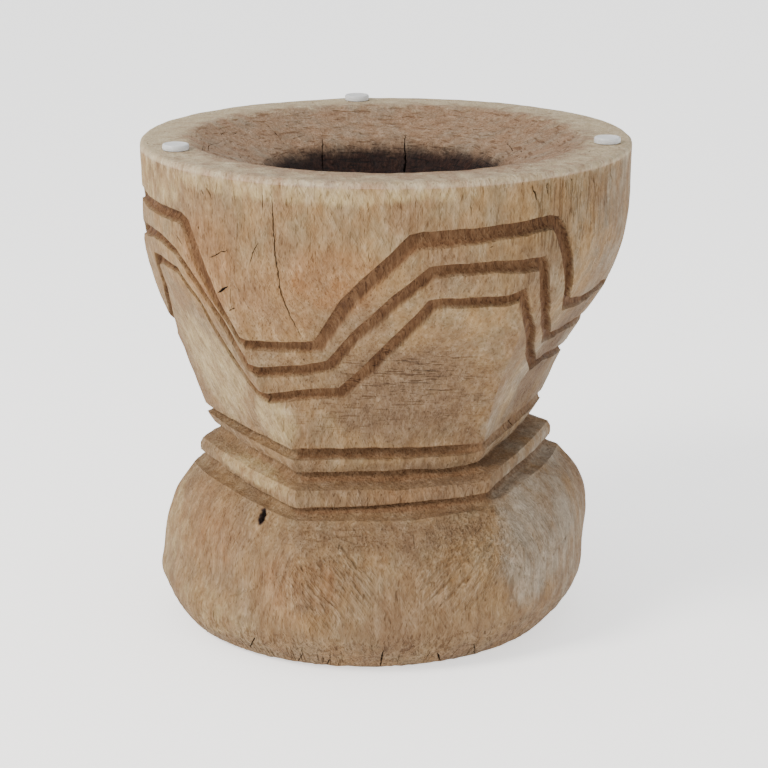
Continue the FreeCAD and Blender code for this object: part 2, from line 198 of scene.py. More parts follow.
# on the right the upper flute is only a shallow line: angle and share, then height and how much less deep
SHALLOW_ANGLES, SHALLOW_SHARES = (31, 39, 96, 115), (0, 1, 1, 0)
SHALLOW_HEIGHTS, SHALLOW_FILLS = (199, 200.8, 205.2, 207), (0, 4.5, 6.5, 0)
print("corners:", len(CORNERS))

# %% [markdown]
# Between the rows of the tables the base and the bowl run smoothly, and the waist runs straight.
# A facet is a chord from corner to corner, and the bulge blends it into a round.


# %% The outline as a function
def column(height, table, item, smooth):
    """One column of a table at a height, along straight lines or smooth ones."""
    heights = np.array([row[0] for row in table], float)
    values = np.array([row[item] for row in table], float)
    if not smooth:
        return np.interp(height, heights, values)
    slopes = np.gradient(values, heights)
    low = np.clip(np.searchsorted(heights, height, side="right") - 1, 0, len(heights) - 2)
    run = heights[low + 1] - heights[low]
    t = np.clip((height - heights[low]) / run, 0, 1)
    return ((2 * t**3 - 3 * t**2 + 1) * values[low] + (t**3 - 2 * t**2 + t) * run * slopes[low]
            + (3 * t**2 - 2 * t**3) * values[low + 1] + (t**3 - t**2) * run * slopes[low + 1])


def level(height, item):
    """Radius (1), bulge (2) or centre X (3) of the blank at a height."""
    height = np.asarray(height, float)
    upper = column(np.minimum(height, BOWL[-1][0]), BOWL, item, True)
    waist = np.where(height < WAIST_HIGH, column(height, WAIST, item, False), upper)
    return np.where(height < WAIST_LOW, column(height, BASE, item, True), waist)


def round_table(angle, table, item):
    """One column of a table of angles, straight between its rows and closed round the log."""
    angles = [row[0] for row in table]
    values = [row[item] for row in table]
    start = angles[0]
    return np.interp((angle - start) % 360 + start, angles + [start + 360], values + values[:1])


def corner_angles(height):
    """Angles of the six corners at each height, and the first one again a turn later."""
    marks = (0, WAIST_LOW, WAIST_HIGH, 290, RIM_TOP)
    angles = [np.interp(height, marks, corner[:5]) for corner in CORNERS]
    return np.stack([*angles, angles[0] + 360], -1)


def corner_radii(height):
    """Radii of the six corners at each height, and the first one again."""
    marks = (0, 35, 100, WAIST_LOW, WAIST_MIDDLE, WAIST_HIGH, LEVEL_TOP)
    out = [np.interp(height, marks, (0, corner[5], *corner[5:], 0)) for corner in CORNERS]
    return level(height, 1)[..., None] + np.stack([*out, out[0]], -1)


def outline(angle, height):
    """Distance from the centre to the blank's surface, for angles in degrees."""
    angle, height = np.broadcast_arrays(np.asarray(angle, float), np.asarray(height, float))
    corners, radii = corner_angles(height), corner_radii(height)
    turned = corners[..., 0] + (angle - corners[..., 0]) % 360
    side = np.clip((corners[..., :-1] <= turned[..., None]).sum(-1) - 1, 0, len(CORNERS) - 1)[..., None]
    before, after = (np.take_along_axis(corners, side + step, -1)[..., 0] for step in (0, 1))
    near, far = (np.take_along_axis(radii, side + step, -1)[..., 0] for step in (0, 1))
    share = (turned - before) / (after - before)
    chord = near * far * np.sin(np.radians(after - before)) / (
        near * np.sin(np.radians(turned - before)) + far * np.sin(np.radians(after - turned)))
    bulge = np.clip(level(height, 2), 0, 1)
    return (1 - bulge) * chord + bulge * (near + (far - near) * share)


def lifted(angle, height):
    """The height of a point once the waist's lines have their lifts."""
    levels = (0, *LIFT_LEVELS, LEVEL_TOP)
    lifts = [round_table(angle, LIFTS, item) for item in range(1, 6)]
    return height + sum(lift * np.interp(height, levels, [place == item for place in range(7)])
                        for item, lift in enumerate(lifts, 1))


print("front radius at the waist:", round(float(outline(0, 190)), 1), "mm")

# %% [markdown]
# The skin of the log is drawn on a flat sheet. Across the sheet runs the angle round the log,
# with its seam at the back; up the sheet runs the way from the middle of the foot, up the
# outside, over the rim and down into the well. A millimetre on the wood is 1/radius on the sheet
# both ways, so shapes keep their proportions when the sheet is rolled up.


# %% The way from foot to well
# how many rows lie on the sole, at its edge, up the side, round the rim's edge and on a leg of the hollow
SOLE_ROWS, EDGE_ROWS, SIDE_ROWS, RIM_ROWS, LEG_ROWS = 40, 5, 700, 9, 10
OUTER = slice(SOLE_ROWS, SOLE_ROWS + EDGE_ROWS + SIDE_ROWS)
FIRST_LEG = OUTER.stop + RIM_ROWS


def profile_way():
    """Points along the way: its length, mean radius, height and share of the foot's radius."""
    rows = [(share * BASE[0][1], 0, share) for share in np.linspace(6 / BASE[0][1], 0.975, SOLE_ROWS)]
    heights = np.concatenate([np.linspace(0.8, SOLE_EDGE, EDGE_ROWS), np.linspace(6, RIM_LOW, SIDE_ROWS)])
    rows += [(float(level(z, 1)) - SOLE_WEAR * max(0, 1 - z / SOLE_EDGE) ** 2, z, 1) for z in heights]
    rows += [(RIM_RADIUS - RIM_ROUND * (1 - math.cos(a)), RIM_LOW + RIM_ROUND * math.sin(a), 1)
             for a in np.radians(np.linspace(10, 90, RIM_ROWS))]
    for (r, z), (next_r, next_z) in zip(HOLLOW, HOLLOW[1:]):
        rows += [(r + (next_r - r) * t, z + (next_z - z) * t, 1) for t in np.linspace(0.1, 1, LEG_ROWS)]
    rows = np.array(rows)
    length = np.concatenate([[0], np.cumsum(np.hypot(np.diff(rows[:, 0]), np.diff(rows[:, 1])))])
    return np.column_stack([length, rows])


WAY = profile_way()
WAY_RADIUS, WAY_HEIGHT = WAY[:, 1], WAY[:, 2]
mean_radius = (WAY_RADIUS[1:] + WAY_RADIUS[:-1]) / 2
WAY_V = np.concatenate([[0], np.cumsum(np.diff(WAY[:, 0]) / mean_radius)])
RIM_START = WAY_V[OUTER.stop - 1]


def sheet_v(height):
    """The sheet's upward coordinate of a height on the outside of the log."""
    return np.interp(height, WAY_HEIGHT[OUTER], WAY_V[OUTER])


def sheet_radius(v):
    """The mean radius there, which is also how many millimetres one unit of the sheet is."""
    return np.interp(v, WAY_V, WAY_RADIUS)


def rolled(u, v):
    """Points in millimetres of the uncarved log for points on the sheet."""
    angle = np.degrees(u) - 180
    height, radius = np.interp(v, WAY_V, WAY_HEIGHT), np.interp(v, WAY_V, WAY_RADIUS)
    outside = v <= RIM_START
    lifted_height = np.where(outside, lifted(angle, height), height)
    reach = outline(angle, height) - SOLE_WEAR * np.clip(1 - height / SOLE_EDGE, 0, 1) ** 2
    reach = np.where(outside, reach * np.interp(v, WAY_V, WAY[:, 3]), radius)
    shallow = np.interp(angle, SHALLOW_ANGLES, SHALLOW_SHARES)
    reach = reach + np.where(outside, shallow * np.interp(height, SHALLOW_HEIGHTS, SHALLOW_FILLS), 0)
    centre = np.where(outside, level(height, 3), 0)
    return np.stack([centre + reach * np.sin(np.radians(angle)), -reach * np.cos(np.radians(angle)),
                     np.where(outside & (height < 0.5), 0, lifted_height)], -1)


def outward(u, v, step=0.004):
    """Unit vectors square to the uncarved surface, pointing out of the wood."""
    across = rolled(u + step, v) - rolled(u - step, v)
    up = rolled(u, np.minimum(v + step, WAY_V[-1])) - rolled(u, np.maximum(v - step, 0))
    normal = np.cross(across, up)
    return normal / np.maximum(np.linalg.norm(normal, axis=-1, keepdims=True), 1e-9)


print("sheet:", round(TURN, 2), "by", round(float(WAY_V[-1]), 2))

# %% [markdown]
# Three zigzag grooves run round the bowl. Each is given by its upper lip: angle, height, and how
# wide the chip was cut there, before wear made it a tenth wider. In front they follow the real,
# uneven hand; round the back the same zigzag goes on. The chip is steep under the lip and eases
# out below.

# %% Lips of the grooves
GROOVES = {
    "upper": (
        (-80, 434, 13), (-69, 431, 11), (-57, 429.5, 11), (-53, 429.5, 11), (-50.2, 424, 13),
        (-47.5, 404, 14), (-43.5, 371.3, 13), (-41.4, 346.5, 9), (-37.8, 318.9, 6), (-36, 316.2, 11),
        (-26.4, 316.7, 12), (-18.9, 319.8, 13), (-10.7, 363.9, 14), (5.1, 428, 15), (8.2, 430.5, 15),
        (20.5, 430.5, 14), (39, 435, 12.5), (41.6, 432.7, 12), (43.5, 426, 13), (45.8, 408, 13.5),
        (47.6, 390, 13.5), (49.1, 375.3, 13), (51.6, 353.5, 12.5), (53.2, 345.5, 12), (59, 342.3, 11),
        (66.2, 341.4, 11), (74, 343, 11), (92, 338, 11), (112, 428, 12), (130, 433, 12), (142, 330, 12),
        (163, 325, 12), (187, 430, 12), (220, 433, 12), (232, 326, 12), (253, 330, 12), (270, 428, 12)),
    "middle": (
        (-84.8, 399.3, 13), (-70.4, 402.5, 9), (-63, 401.5, 9), (-56.1, 393.1, 7), (-52.8, 382.1, 7.5),
        (-49.2, 368.2, 8), (-46.1, 350.4, 8), (-43, 332.5, 8.5), (-36.7, 291, 10), (-34.4, 288.9, 11),
        (-23.3, 293, 11.5), (-15.8, 298.1, 12), (-9.1, 327.5, 12.5), (0.9, 367, 12.5), (9.5, 397.3, 12),
        (13.2, 398.4, 11), (25.7, 399.3, 11), (38.2, 397.2, 12), (39.4, 391, 12.5), (41.1, 363.7, 12.5),
        (45.1, 335.4, 12.5), (54, 309, 12), (61.4, 306, 11), (70.3, 304.6, 11), (95, 296, 12),
        (110, 397, 12), (128, 402, 12), (143, 306, 12), (166, 301, 12), (191, 398, 12), (217, 402, 12),
        (233, 302, 12), (256, 306, 12), (272, 390, 13)),
    "lower": (
        (-79.6, 326.2, 13), (-74.8, 352, 13), (-71.8, 375.9, 11), (-66.3, 378, 8), (-57.3, 374.1, 6),
        (-55, 362.2, 5), (-51, 343.4, 5.5), (-47.1, 308.5, 6), (-39.8, 272.4, 7), (-35.9, 263.4, 9),
        (-32.2, 263.1, 10.5), (-23.6, 267.7, 11), (-12.2, 270.3, 12), (-6, 290.1, 13), (1.5, 322.6, 13),
        (10, 363.2, 12), (13, 365.4, 10.5), (29, 365.5, 10), (33.2, 371.2, 10), (34.7, 357.5, 11.5),
        (36.7, 342.4, 12), (46.5, 303.3, 12), (60, 274, 11), (70.1, 274, 10), (84, 267, 10), (97, 262, 12),
        (114, 366, 12), (126, 370, 12), (145, 272, 12), (168, 268, 12), (192, 366, 12), (216, 370, 12),
        (235, 272, 12), (258, 276, 12), (271, 290, 13)),
}
# places across a chip: millimetres from the lip or shares of the width, and share of the depth
CHIP_ROWS = (
    (-1.3, 0, 0), (0, 0, 0.05), (0.7, 0, 0.6), (1.5, 0, 1), (1.5, 0.3, 0.98), (1.5, 0.56, 0.86),
    (1.5, 0.78, 0.6), (1.5, 0.93, 0.24), (1.5, 1, 0))
CHIP_DEPTH, CHIP_STEP, WEAR_WIDENS = 7.0, 3.0, 1.1
# millimetres on the bowl for one unit of the sheet, where only the hand's wobble needs it
BOWL_UNIT = 210
# how far a chip's lip and its lower edge stray, in millimetres
LIP_STRAYS, EDGE_STRAYS = 0.7, 0.6
print("corners of the lips:", {name: len(lip) for name, lip in GROOVES.items()})

# %% [markdown]
# A lip is a line with corners. Each of its rows lies a little lower on the wood, with the corners
# mitred as a picture frame's are, so that the chip keeps its width round a bend. A slow wobble
# gives it the unsteady hand of the carver.


# %% Drawing the grooves on the sheet
def wobble(along, seed, reach):
    """A smooth wandering value of the given reach, for the unsteady hand."""
    waves = ((0.031, 0.5), (0.083, 0.3), (0.19, 0.2))
    return reach * sum(share * np.sin(along * rate * 2 + seed * 7.3 + index * 2.1)
                       for index, (rate, share) in enumerate(waves))


def mitred(points, nodes_width, place, share):
    """The lip's corners moved down the wood to one row of the chip."""
    count = len(points)
    moved = []
    for index in range(count):
        here = points[index]
        before = here - (points[index - 1] if index else points[-1] - (TURN, 0))
        after = (points[index + 1] if index + 1 < count else points[0] + (TURN, 0)) - here
        before, after = before / np.hypot(*before), after / np.hypot(*after)
        along = before + after
        along /= np.hypot(*along)
        reach = (place + share * (nodes_width[index] - place)) / sheet_radius(here[1])
        moved.append(here + np.array([along[1], -along[0]]) * reach / max(0.45, along @ before))
    return moved


def chip_rows(lip, seed):
    """Every row of one groove as sheet points, with the share of the depth of each row."""
    corners = [np.array([math.radians(angle) + math.pi, sheet_v(height)]) for angle, height, width in lip]
    widths = [WEAR_WIDENS * width for angle, height, width in lip]
    legs = []
    for index, corner in enumerate(corners):
        following = corners[index + 1] if index + 1 < len(corners) else corners[0] + (TURN, 0)
        legs.append(max(2, round(np.hypot(*(following - corner)) * sheet_radius(corner[1]) / CHIP_STEP)))
    rows = []
    for place, share, depth in CHIP_ROWS:
        nodes = mitred(corners, widths, place, share)
        nodes.append(nodes[0] + (TURN, 0))
        line = np.concatenate([
            start + (end - start) * np.linspace(0, 1, steps, endpoint=False)[:, None]
            for start, end, steps in zip(nodes, nodes[1:], legs)])
        along = line[:, 0] * BOWL_UNIT
        strays = wobble(along, seed, LIP_STRAYS) + wobble(along, seed + 5, EDGE_STRAYS * share)
        line[:, 1] += strays / BOWL_UNIT
        rows.append((line, depth))
    return rows


grooves = {name: chip_rows(lip, seed) for seed, (name, lip) in enumerate(GROOVES.items())}
print("groove points:", {name: sum(len(line) for line, depth in rows) for name, rows in grooves.items()})

# %% [markdown]
# A dry log is full of drying cracks, splits, worm holes and the marks of its tools. Each is a line
# on the wood with a half width and a depth: the long ones are listed, and the small ones
# round the foot, on and below the rim and at the back come from a seeded random draw.

# %% Cracks, pits and strokes
# half width and depth in millimetres, its painted shade, then the way it runs: angle, height
CRACKS = (
    (0.75, 5, 1,
     ((-25.6, 464), (-25.2, 450), (-25.1, 420), (-24.8, 394), (-24.7, 366), (-23.6, 343), (-22.2, 323))),
    (0.9, 4, 1, ((-43.4, 458), (-42.5, 453), (-41.6, 447))), (0.7, 3, 1, ((-45, 455), (-44.1, 449.5))),
    (1.4, 4, 1, ((-41.7, 360.5), (-39.7, 365.3), (-37.9, 370))),
    (1.1, 3, 1, ((-39.2, 345), (-36.9, 349.2))),
    (0.9, 3, 1, ((-55.4, 406.3), (-54.2, 402.4), (-53.1, 398.4))),
    (0.6, 2, 0.8, ((-51.8, 391.8), (-50.6, 386))), (0.6, 2, 0.8, ((-43.3, 393), (-40, 399.7), (-37, 404))),
    (0.5, 2, 0.8, ((-31.9, 392), (-30.5, 405.5), (-29.1, 415))),
    (1.1, 5, 1, ((33.6, 465), (34.3, 457.2), (35.2, 447))), (0.6, 2.5, 0.9, ((37.6, 465), (38.2, 452))),
    (0.7, 2.5, 0.9, ((43.3, 465), (43.8, 453))), (0.6, 2, 0.8, ((45.6, 465), (46.1, 450))),
    (0.8, 3, 0.9, ((53, 464), (54.6, 450), (54.9, 440))), (0.8, 3, 0.9, ((61.4, 465), (62.4, 452))),
    (0.6, 2.5, 1, ((32.4, 411), (33.4, 416.5))), (0.5, 2, 0.8, ((22.8, 412.3), (24.2, 413.6))),
    (1.7, 4, 1, ((63.1, 213), (66.4, 197))), (0.7, 3, 0.9, ((-47.2, 8), (-47.7, 28.8), (-48.2, 42.3))),
    (1.1, 5, 1, ((3.9, 2.5), (3.9, 13), (3.7, 27))), (1.2, 4, 1, ((22.6, 2.5), (19.4, 18))),
    (0.9, 4, 1, ((-36.8, 8.5), (-33.2, 26))), (0.8, 3, 1, ((-12.5, 2.5), (-10.4, 15))),
    (0.8, 3, 1, ((34.5, 3), (29.8, 22))), (0.7, 3, 1, ((-21.5, 2.5), (-18.2, 18))),
    (0.9, 6, 1, ((128, 464), (127, 410), (128.5, 350), (127.6, 318))),
    (0.8, 5, 1, ((176, 465), (175, 445), (176.6, 438))), (1, 6, 1, ((205, 232), (206.4, 275))),
    (0.8, 5, 1, ((241, 464), (240.2, 440), (241.3, 410), (240.6, 366))),
    (1, 6, 1, ((150, 3), (151.5, 40), (150.6, 96))), (0.9, 5, 1, ((222, 3), (221, 52), (222.4, 88))))
# the same inside the mouth, with the distance from the middle in place of the height
HOLLOW_CRACKS = (
    (0.8, 3, 1, ((-134.5, 174.5), (-133, 150.4), (-128, 122))),
    (0.6, 2, 0.7, ((-86.5, 153), (-72, 144), (-65.5, 127.5))),
    (0.6, 2, 0.7, ((122.5, 139), (107.5, 128.6))), (0.5, 2, 0.6, ((-82.5, 173), (-70, 180), (-58, 184))),
    (0.6, 2, 0.6, ((-100, 160), (-88, 168), (-76, 170))), (0.7, 2.5, 0.8, ((64, 226), (60, 200))),
    (0.6, 2, 0.8, ((-160, 224), (-158.6, 192))), (0.7, 2.5, 0.8, ((142, 226), (144, 205), (143, 190))))
WELL_CRACKS = ((0.9, 6, 1, ((-151.5, 455), (-146, 444), (-142, 427), (-141.5, 380), (-142.6, 330))),
               (1, 6, 1, ((171.5, 455), (170, 441), (169, 430), (169.4, 380), (168, 320))))
# worm holes and pits, full of painted shade: angle, height, half width, length, depth
PITS = (
    (-37, 135.2, 3.6, 12, 9), (-46.5, 419, 1.2, 4, 3), (13, 433, 1, 3, 2), (17, 431, 1, 3, 2),
    (-14.9, 285, 1.4, 4, 2.5), (-22.1, 299, 0.9, 4, 2), (-20.5, 262, 0.7, 3, 2))
# shallow strokes of the adze: half width, depth, painted shade, then the way it runs
STROKES = (
    (2.6, 1.6, 0.22, ((-11.5, 124.7), (-8.8, 117), (-7.1, 110), (-5.6, 102.6))),
    (3.8, 1.4, 0.08, ((32.3, 125.7), (24.9, 108.6), (18.5, 86), (14.5, 73))),
    (3.6, 1.2, 0.08, ((31.6, 130.5), (23.1, 116), (16.2, 97.4), (11.1, 81.5))),
    (3.6, 1.3, 0.08, ((32.7, 117.7), (26.8, 97.7), (21.4, 79), (16.9, 64.5))),
    (3.8, 1.5, 0.1, ((-21, 109), (-18.9, 95.8), (-15.2, 82), (-10.7, 70))),
    (3.4, 1.2, 0.08, ((-19.6, 84.8), (-16.8, 70.5), (-12.3, 58.5))),
    (3.4, 1.2, 0.08, ((-21.4, 97.5), (-22.1, 83), (-24.1, 70))),
    (3.9, 0.9, 0.0, ((37.4, 134), (36.8, 119.4), (35.4, 102), (39.7, 82), (54.3, 56.4))),
    (3.8, 1.4, 0.08, ((-43.3, 58.2), (-35.2, 74), (-24.8, 98))),
    (3, 1.1, 0.1, ((-19.9, 136), (-12.6, 132), (-6, 124))),
    (2.8, 1.2, 0.14, ((46.2, 111), (48, 95), (50.7, 80))),
    (2.8, 1, 0.14, ((54.9, 81), (60, 86), (65.4, 88))),
    (2.8, 1.1, 0.14, ((33.5, 105), (36.7, 97), (40.4, 87))), (1.6, 0.7, 0.35, ((5.4, 299.3), (11.3, 298))),
    (1.7, 0.8, 0.35, ((9, 289.5), (17.4, 287.8))), (1.6, 0.7, 0.35, ((6.2, 276.7), (16.3, 275))),
    (1.4, 0.6, 0.35, ((16.3, 268.5), (22, 266.8))), (1.5, 0.7, 0.35, ((27.2, 281), (31.8, 279.3))),
    (1.2, 0.5, 0.3, ((-36.7, 390.5), (-37.9, 347))), (1.3, 0.5, 0.3, ((-10.4, 402.7), (-10.9, 373.4))))
# kind of small crack: how many, lowest and highest start, shortest and longest, widest half
SMALL_CRACKS = (
    (150, 1.5, 6, 5, 24, 0.6), (70, 440, 460, 5, 22, 0.45), (20, 60, 130, 5, 16, 0.4),
    (36, 225, 450, 4, 12, 0.4), (14, 15, 130, 2.5, 4, 0.7), (20, 225, 450, 2.5, 4, 0.6))
# short marks on the rim and in the funnel, darkened with painted shade: how many, nearest to and
# furthest from the middle
RIM_MARKS = ((70, 192, 229), (90, 122, 190))
# ranges of a mark's and a small crack's sizes, each ending in its painted shade
MARK_LENGTHS, MARK_HALVES, MARK_DEPTHS, MARK_SHADES = (3, 9), (0.5, 1.1), (0.8, 2), (0.4, 1)
CRACK_HALF_SHARES, CRACK_DEPTHS, CRACK_SHADES = (0.5, 1), (1, 2.5), (0.2, 0.9)
# how far a small crack leans in 200 mm, in units of the sheet
CRACK_LEAN = 0.12
# in millimetres: how far a rim mark strays, and how unsteady long lines and small ones are
MARK_STRAY, LONG_UNSTEADY, SMALL_UNSTEADY = 1.5, 0.35, 0.2
# the small ones stay clear of the seam, which is at 0 and at a full turn, and of the rim's edge
NEAR_SEAM, FAR_SEAM, HIGHEST_CRACK = 0.05, 6.23, 464.5
WIDEST_HALF, DEEPEST_CUT = 4.0, 10.0
LINE_STEP = 2.6
# the power of a sine that tapers a cut's ends, the share by which its width wavers, and the half
# width past which it is drawn as a wide one
TAPER, WAVER, WIDE_HALF = 0.45, 0.25, 1.3
by_hand = (CRACKS, HOLLOW_CRACKS, WELL_CRACKS, PITS, STROKES)
print("cuts placed by hand:", sum(len(table) for table in by_hand))

# %% [markdown]
# On the sheet a thin cut is three rows of points and a wide one seven, so that the mesh has an
# edge on each side of the cut. The rows draw together at the cut's two ends.


# %% Drawing the cuts on the sheet
def mouth_v(radius):
    """The sheet's upward coordinate of a place on the rim or in the funnel."""
    way = slice(FIRST_LEG - 1, FIRST_LEG + 2 * LEG_ROWS)
    return np.interp(-radius, -WAY_RADIUS[way], WAY_V[way])


def well_v(height):
    """The sheet's upward coordinate of a height in the upper part of the well, where light falls."""
    way = slice(FIRST_LEG + LEG_ROWS, FIRST_LEG + 4 * LEG_ROWS + 6)
    return np.interp(-height, -WAY_HEIGHT[way], WAY_V[way])


def cut_rows(path, half_width, unsteady, random):
    """The rows of one cut, its middle, and the half width at every point of the middle."""
    legs = np.hypot(*np.diff(path, axis=0).T) * sheet_radius(path[:-1, 1])
    along = np.concatenate([[0], np.cumsum(legs)])
    steps = max(2, round(along[-1] / LINE_STEP))
    places = np.linspace(0, along[-1], steps + 1)
    middle = np.column_stack([np.interp(places, along, path[:, axis]) for axis in (0, 1)])
    scale = 1 / sheet_radius(middle[:, 1])
    direction = np.gradient(middle, axis=0)
    direction /= np.maximum(np.hypot(*direction.T)[:, None], 1e-9)
    side = np.column_stack([-direction[:, 1], direction[:, 0]])
    middle = middle + side * (random.normal(0, unsteady, len(places)) * scale)[:, None]
    share = np.sin(np.pi * np.clip(places / places[-1], 0.0, 1)) ** TAPER
    uneven = random.normal(0, 1, len(places)).clip(-1.5, 1.5)
    half = half_width * share * (1 + (WAVER if steps > 4 else 0) * uneven)
    half[[0, -1]] = 0
    offset = side * (half * scale)[:, None]
    sides = (-1.3, -1, -0.6, 0, 0.6, 1, 1.3) if half_width > WIDE_HALF else (-1, 0, 1)
    return [middle + offset * place for place in sides], middle, half


random = np.random.default_rng(21)
cuts = []
for table, place in ((CRACKS, sheet_v), (HOLLOW_CRACKS, mouth_v), (WELL_CRACKS, well_v), (STROKES, sheet_v)):
    for half_width, depth, dark, way in table:
        path = np.array([(math.radians(angle) % TURN, place(value)) for angle, value in way])
        path[:, 0] = (path[:, 0] + math.pi) % TURN
        cuts.append((path, half_width, depth, dark, 0.0 if table is STROKES else LONG_UNSTEADY))
for angle, height, half_width, length, depth in PITS:
    u = (math.radians(angle) + math.pi) % TURN
    path = np.array([(u, sheet_v(height + length * end)) for end in (-0.5, 0, 0.5)])
    cuts.append((path, half_width, depth, 1, 0.0))
for count, nearest, furthest in RIM_MARKS:
    for _ in range(count):
        u, radius = random.uniform(NEAR_SEAM, FAR_SEAM), random.uniform(nearest, furthest)
        length = random.uniform(*MARK_LENGTHS)
        end = (u + length / radius, mouth_v(radius + random.uniform(-MARK_STRAY, MARK_STRAY)))
        path = np.array([(u, mouth_v(radius)), end])
        sizes = [random.uniform(*ends) for ends in (MARK_HALVES, MARK_DEPTHS, MARK_SHADES)]
        cuts.append((path, *sizes, SMALL_UNSTEADY))
for count, lowest, highest, shortest, longest, widest in SMALL_CRACKS:
    for _ in range(count):
        u, start = random.uniform(NEAR_SEAM, FAR_SEAM), random.uniform(lowest, highest)
        length = random.uniform(shortest, longest)
        end = min(start + length, HIGHEST_CRACK)
        lean = random.uniform(-CRACK_LEAN, CRACK_LEAN) * length / 200
        path = np.array([(u, sheet_v(start)), (u + lean, sheet_v(end))])
        half_width = random.uniform(*CRACK_HALF_SHARES) * widest
        depth, dark = random.uniform(*CRACK_DEPTHS), random.uniform(*CRACK_SHADES)
        cuts.append((path, half_width, depth, dark, SMALL_UNSTEADY))
print("cuts:", len(cuts))

# %% [markdown]
# The log's crisp lines will be laid into its mesh as edges that no triangle may cross: the corners
# between the facets and every row of the grooves and the cuts. A facet's corner stops at a groove,
# and a cut that would run into a groove or over the seam is left out.


# %% Crisp lines on the sheet
# how far lines stay from the grooves and from the seam, in units of the sheet
FACET_CLEARANCE, CUT_CLEARANCE, SEAM_CLEARANCE, GROOVE_END = 0.008, 0.012, 0.02, 0.004


def inside(points, loop):
    """Which of the points lie inside a closed loop."""
    within = np.zeros(len(points), bool)
    for (x0, y0), (x1, y1) in zip(loop, np.roll(loop, -1, 0)):
        if y0 != y1:
            crosses = (points[:, 1] > min(y0, y1)) & (points[:, 1] <= max(y0, y1))
            within[crosses] ^= points[crosses, 0] < x0 + (points[crosses, 1] - y0) * (x1 - x0) / (y1 - y0)
    return within


def wrapped(line):
    """A line that goes once round the log, cut at the seam so that it runs from 0 to a full turn."""
    line = line[:-1].copy()
    line[:, 0] %= TURN
    line = line[np.argsort(line[:, 0], kind="stable")]
    share = line[0, 0] / (line[0, 0] + TURN - line[-1, 0])
    seam = line[0, 1] + (line[-1, 1] - line[0, 1]) * share
    keep = (line[:, 0] > GROOVE_END) & (line[:, 0] < TURN - GROOVE_END)
    return np.concatenate([[(0, seam)], line[keep], [(TURN, seam)]])


def corner_lines():
    """The edges between the facets of the base, and of the waist and the lower bowl."""
    lines = []
    for low, high in ((14, WAIST_LOW), (WAIST_LOW, 335)):
        heights = np.linspace(low, high, round((high - low) / LINE_STEP))
        angles = corner_angles(heights)
        lines += [np.column_stack([(np.radians(angles[:, side]) + math.pi) % TURN, sheet_v(heights)])
                  for side in range(len(CORNERS))]
    return lines


def in_bands(points, shifts):
    """Which of the points lie in or beside a groove, also when moved a little."""
    found = np.zeros(len(points), bool)
    for band in bands:
        for shift in shifts:
            found |= inside(points + shift, band)
    return found


bands, constraint_lines, row_depths = [], [], []
for rows in grooves.values():
    cut = [wrapped(line) for line, depth in rows]
    bands.append(np.concatenate([cut[0], cut[-1][::-1]]))
    constraint_lines += cut
    row_depths += [depth for line, depth in rows]
beside = [(across * shift, up * shift) for shift in (-FACET_CLEARANCE, 0, FACET_CLEARANCE)
          for across, up in ((0, 1), (1, 0))]
for line in corner_lines():
    within = in_bands(line, beside)
    for piece in np.split(np.arange(len(line)), np.where(np.diff(within.astype(int)))[0] + 1):
        if len(piece) > 1 and not within[piece[0]]:
            constraint_lines.append(line[piece])
            row_depths.append(0)
drawn = [(*cut_rows(path, half_width, unsteady, random), depth, dark)
         for path, half_width, depth, dark, unsteady in cuts]
middles = np.concatenate([middle for rows, middle, *rest in drawn])
owner = np.concatenate([np.full(len(row[1]), index) for index, row in enumerate(drawn)])
blocked = (middles[:, 0] < SEAM_CLEARANCE) | (middles[:, 0] > TURN - SEAM_CLEARANCE)
blocked |= in_bands(middles, [(0, shift) for shift in (-CUT_CLEARANCE, 0, CUT_CLEARANCE)])
blocked_cuts = set(owner[blocked])
cut_lines = []
for index, (rows, middle, half, depth, dark) in enumerate(drawn):
    if index not in blocked_cuts:
        constraint_lines += rows
        row_depths += [0] * len(rows)
        cut_lines.append((middle, half, depth, dark))
print("crisp lines:", len(constraint_lines), "cuts kept:", len(cut_lines))

# %% [markdown]
# The rest of the sheet is covered by a lattice of points, staggered like bricks, a little finer in
# front than at the back and coarser in the well. Some of its rows lie exactly on the edges of the
# waist's flutes, on the rim's edges and on the hollow's bends, so those stay crisp as well.


# %% The lattice
# how far apart the points lie in millimetres: at the middle of the sole, at its edge, at the side's
# foot, in the funnel, at its end, at the top of the well and at the well's floor
SPACINGS = (12, 5, 3.58, 3.58, 4, 7, 9)
# a row's height in an equal-sided triangle, how much finer the front is, the fewest points of a row
ROW_SHARE, FINER_SHARE, FEWEST_POINTS = 0.866, 0.25, 24


def spacing(v):
    """How far apart the lattice's points lie, in millimetres, at a place on the way to the well."""
    marks = (0, sheet_v(0.8), sheet_v(6), RIM_START + 0.3, RIM_START + 0.75, RIM_START + 1.1, WAY_V[-1])
    return np.interp(v, marks, SPACINGS)


def lattice(fixed_rows):
    """Rows of points across the sheet, staggered like bricks. The fixed rows are met exactly."""
    points, edges, row, v = [], [], 0, 0.0
    while True:
        count = max(FEWEST_POINTS, round(TURN * float(sheet_radius(v)) / float(spacing(v))))
        turns = (np.arange(1, count) + 0.5 * (row % 2)) / count
        turns = np.concatenate([[0], turns[turns < 1 - 0.4 / count], [1]])
        across = TURN * turns + FINER_SHARE * np.sin(TURN * turns)
        start = len(points)
        points += [(x, v) for x in across]
        if any(abs(v - fixed) < 1e-9 for fixed in fixed_rows) or row == 0 or v == WAY_V[-1]:
            edges += [(index, index + 1) for index in range(start, len(points) - 1)]
        if v == WAY_V[-1]:
            return np.array(points), edges
        step = ROW_SHARE * float(spacing(v) / sheet_radius(v))
        marks = [fixed for fixed in (*fixed_rows, WAY_V[-1]) if fixed > v + 1e-9]
        gap = marks[0] - v
        v = marks[0] if gap < 1.4 * step else v + (gap / 2 if gap < 2 * step else step)
        row += 1


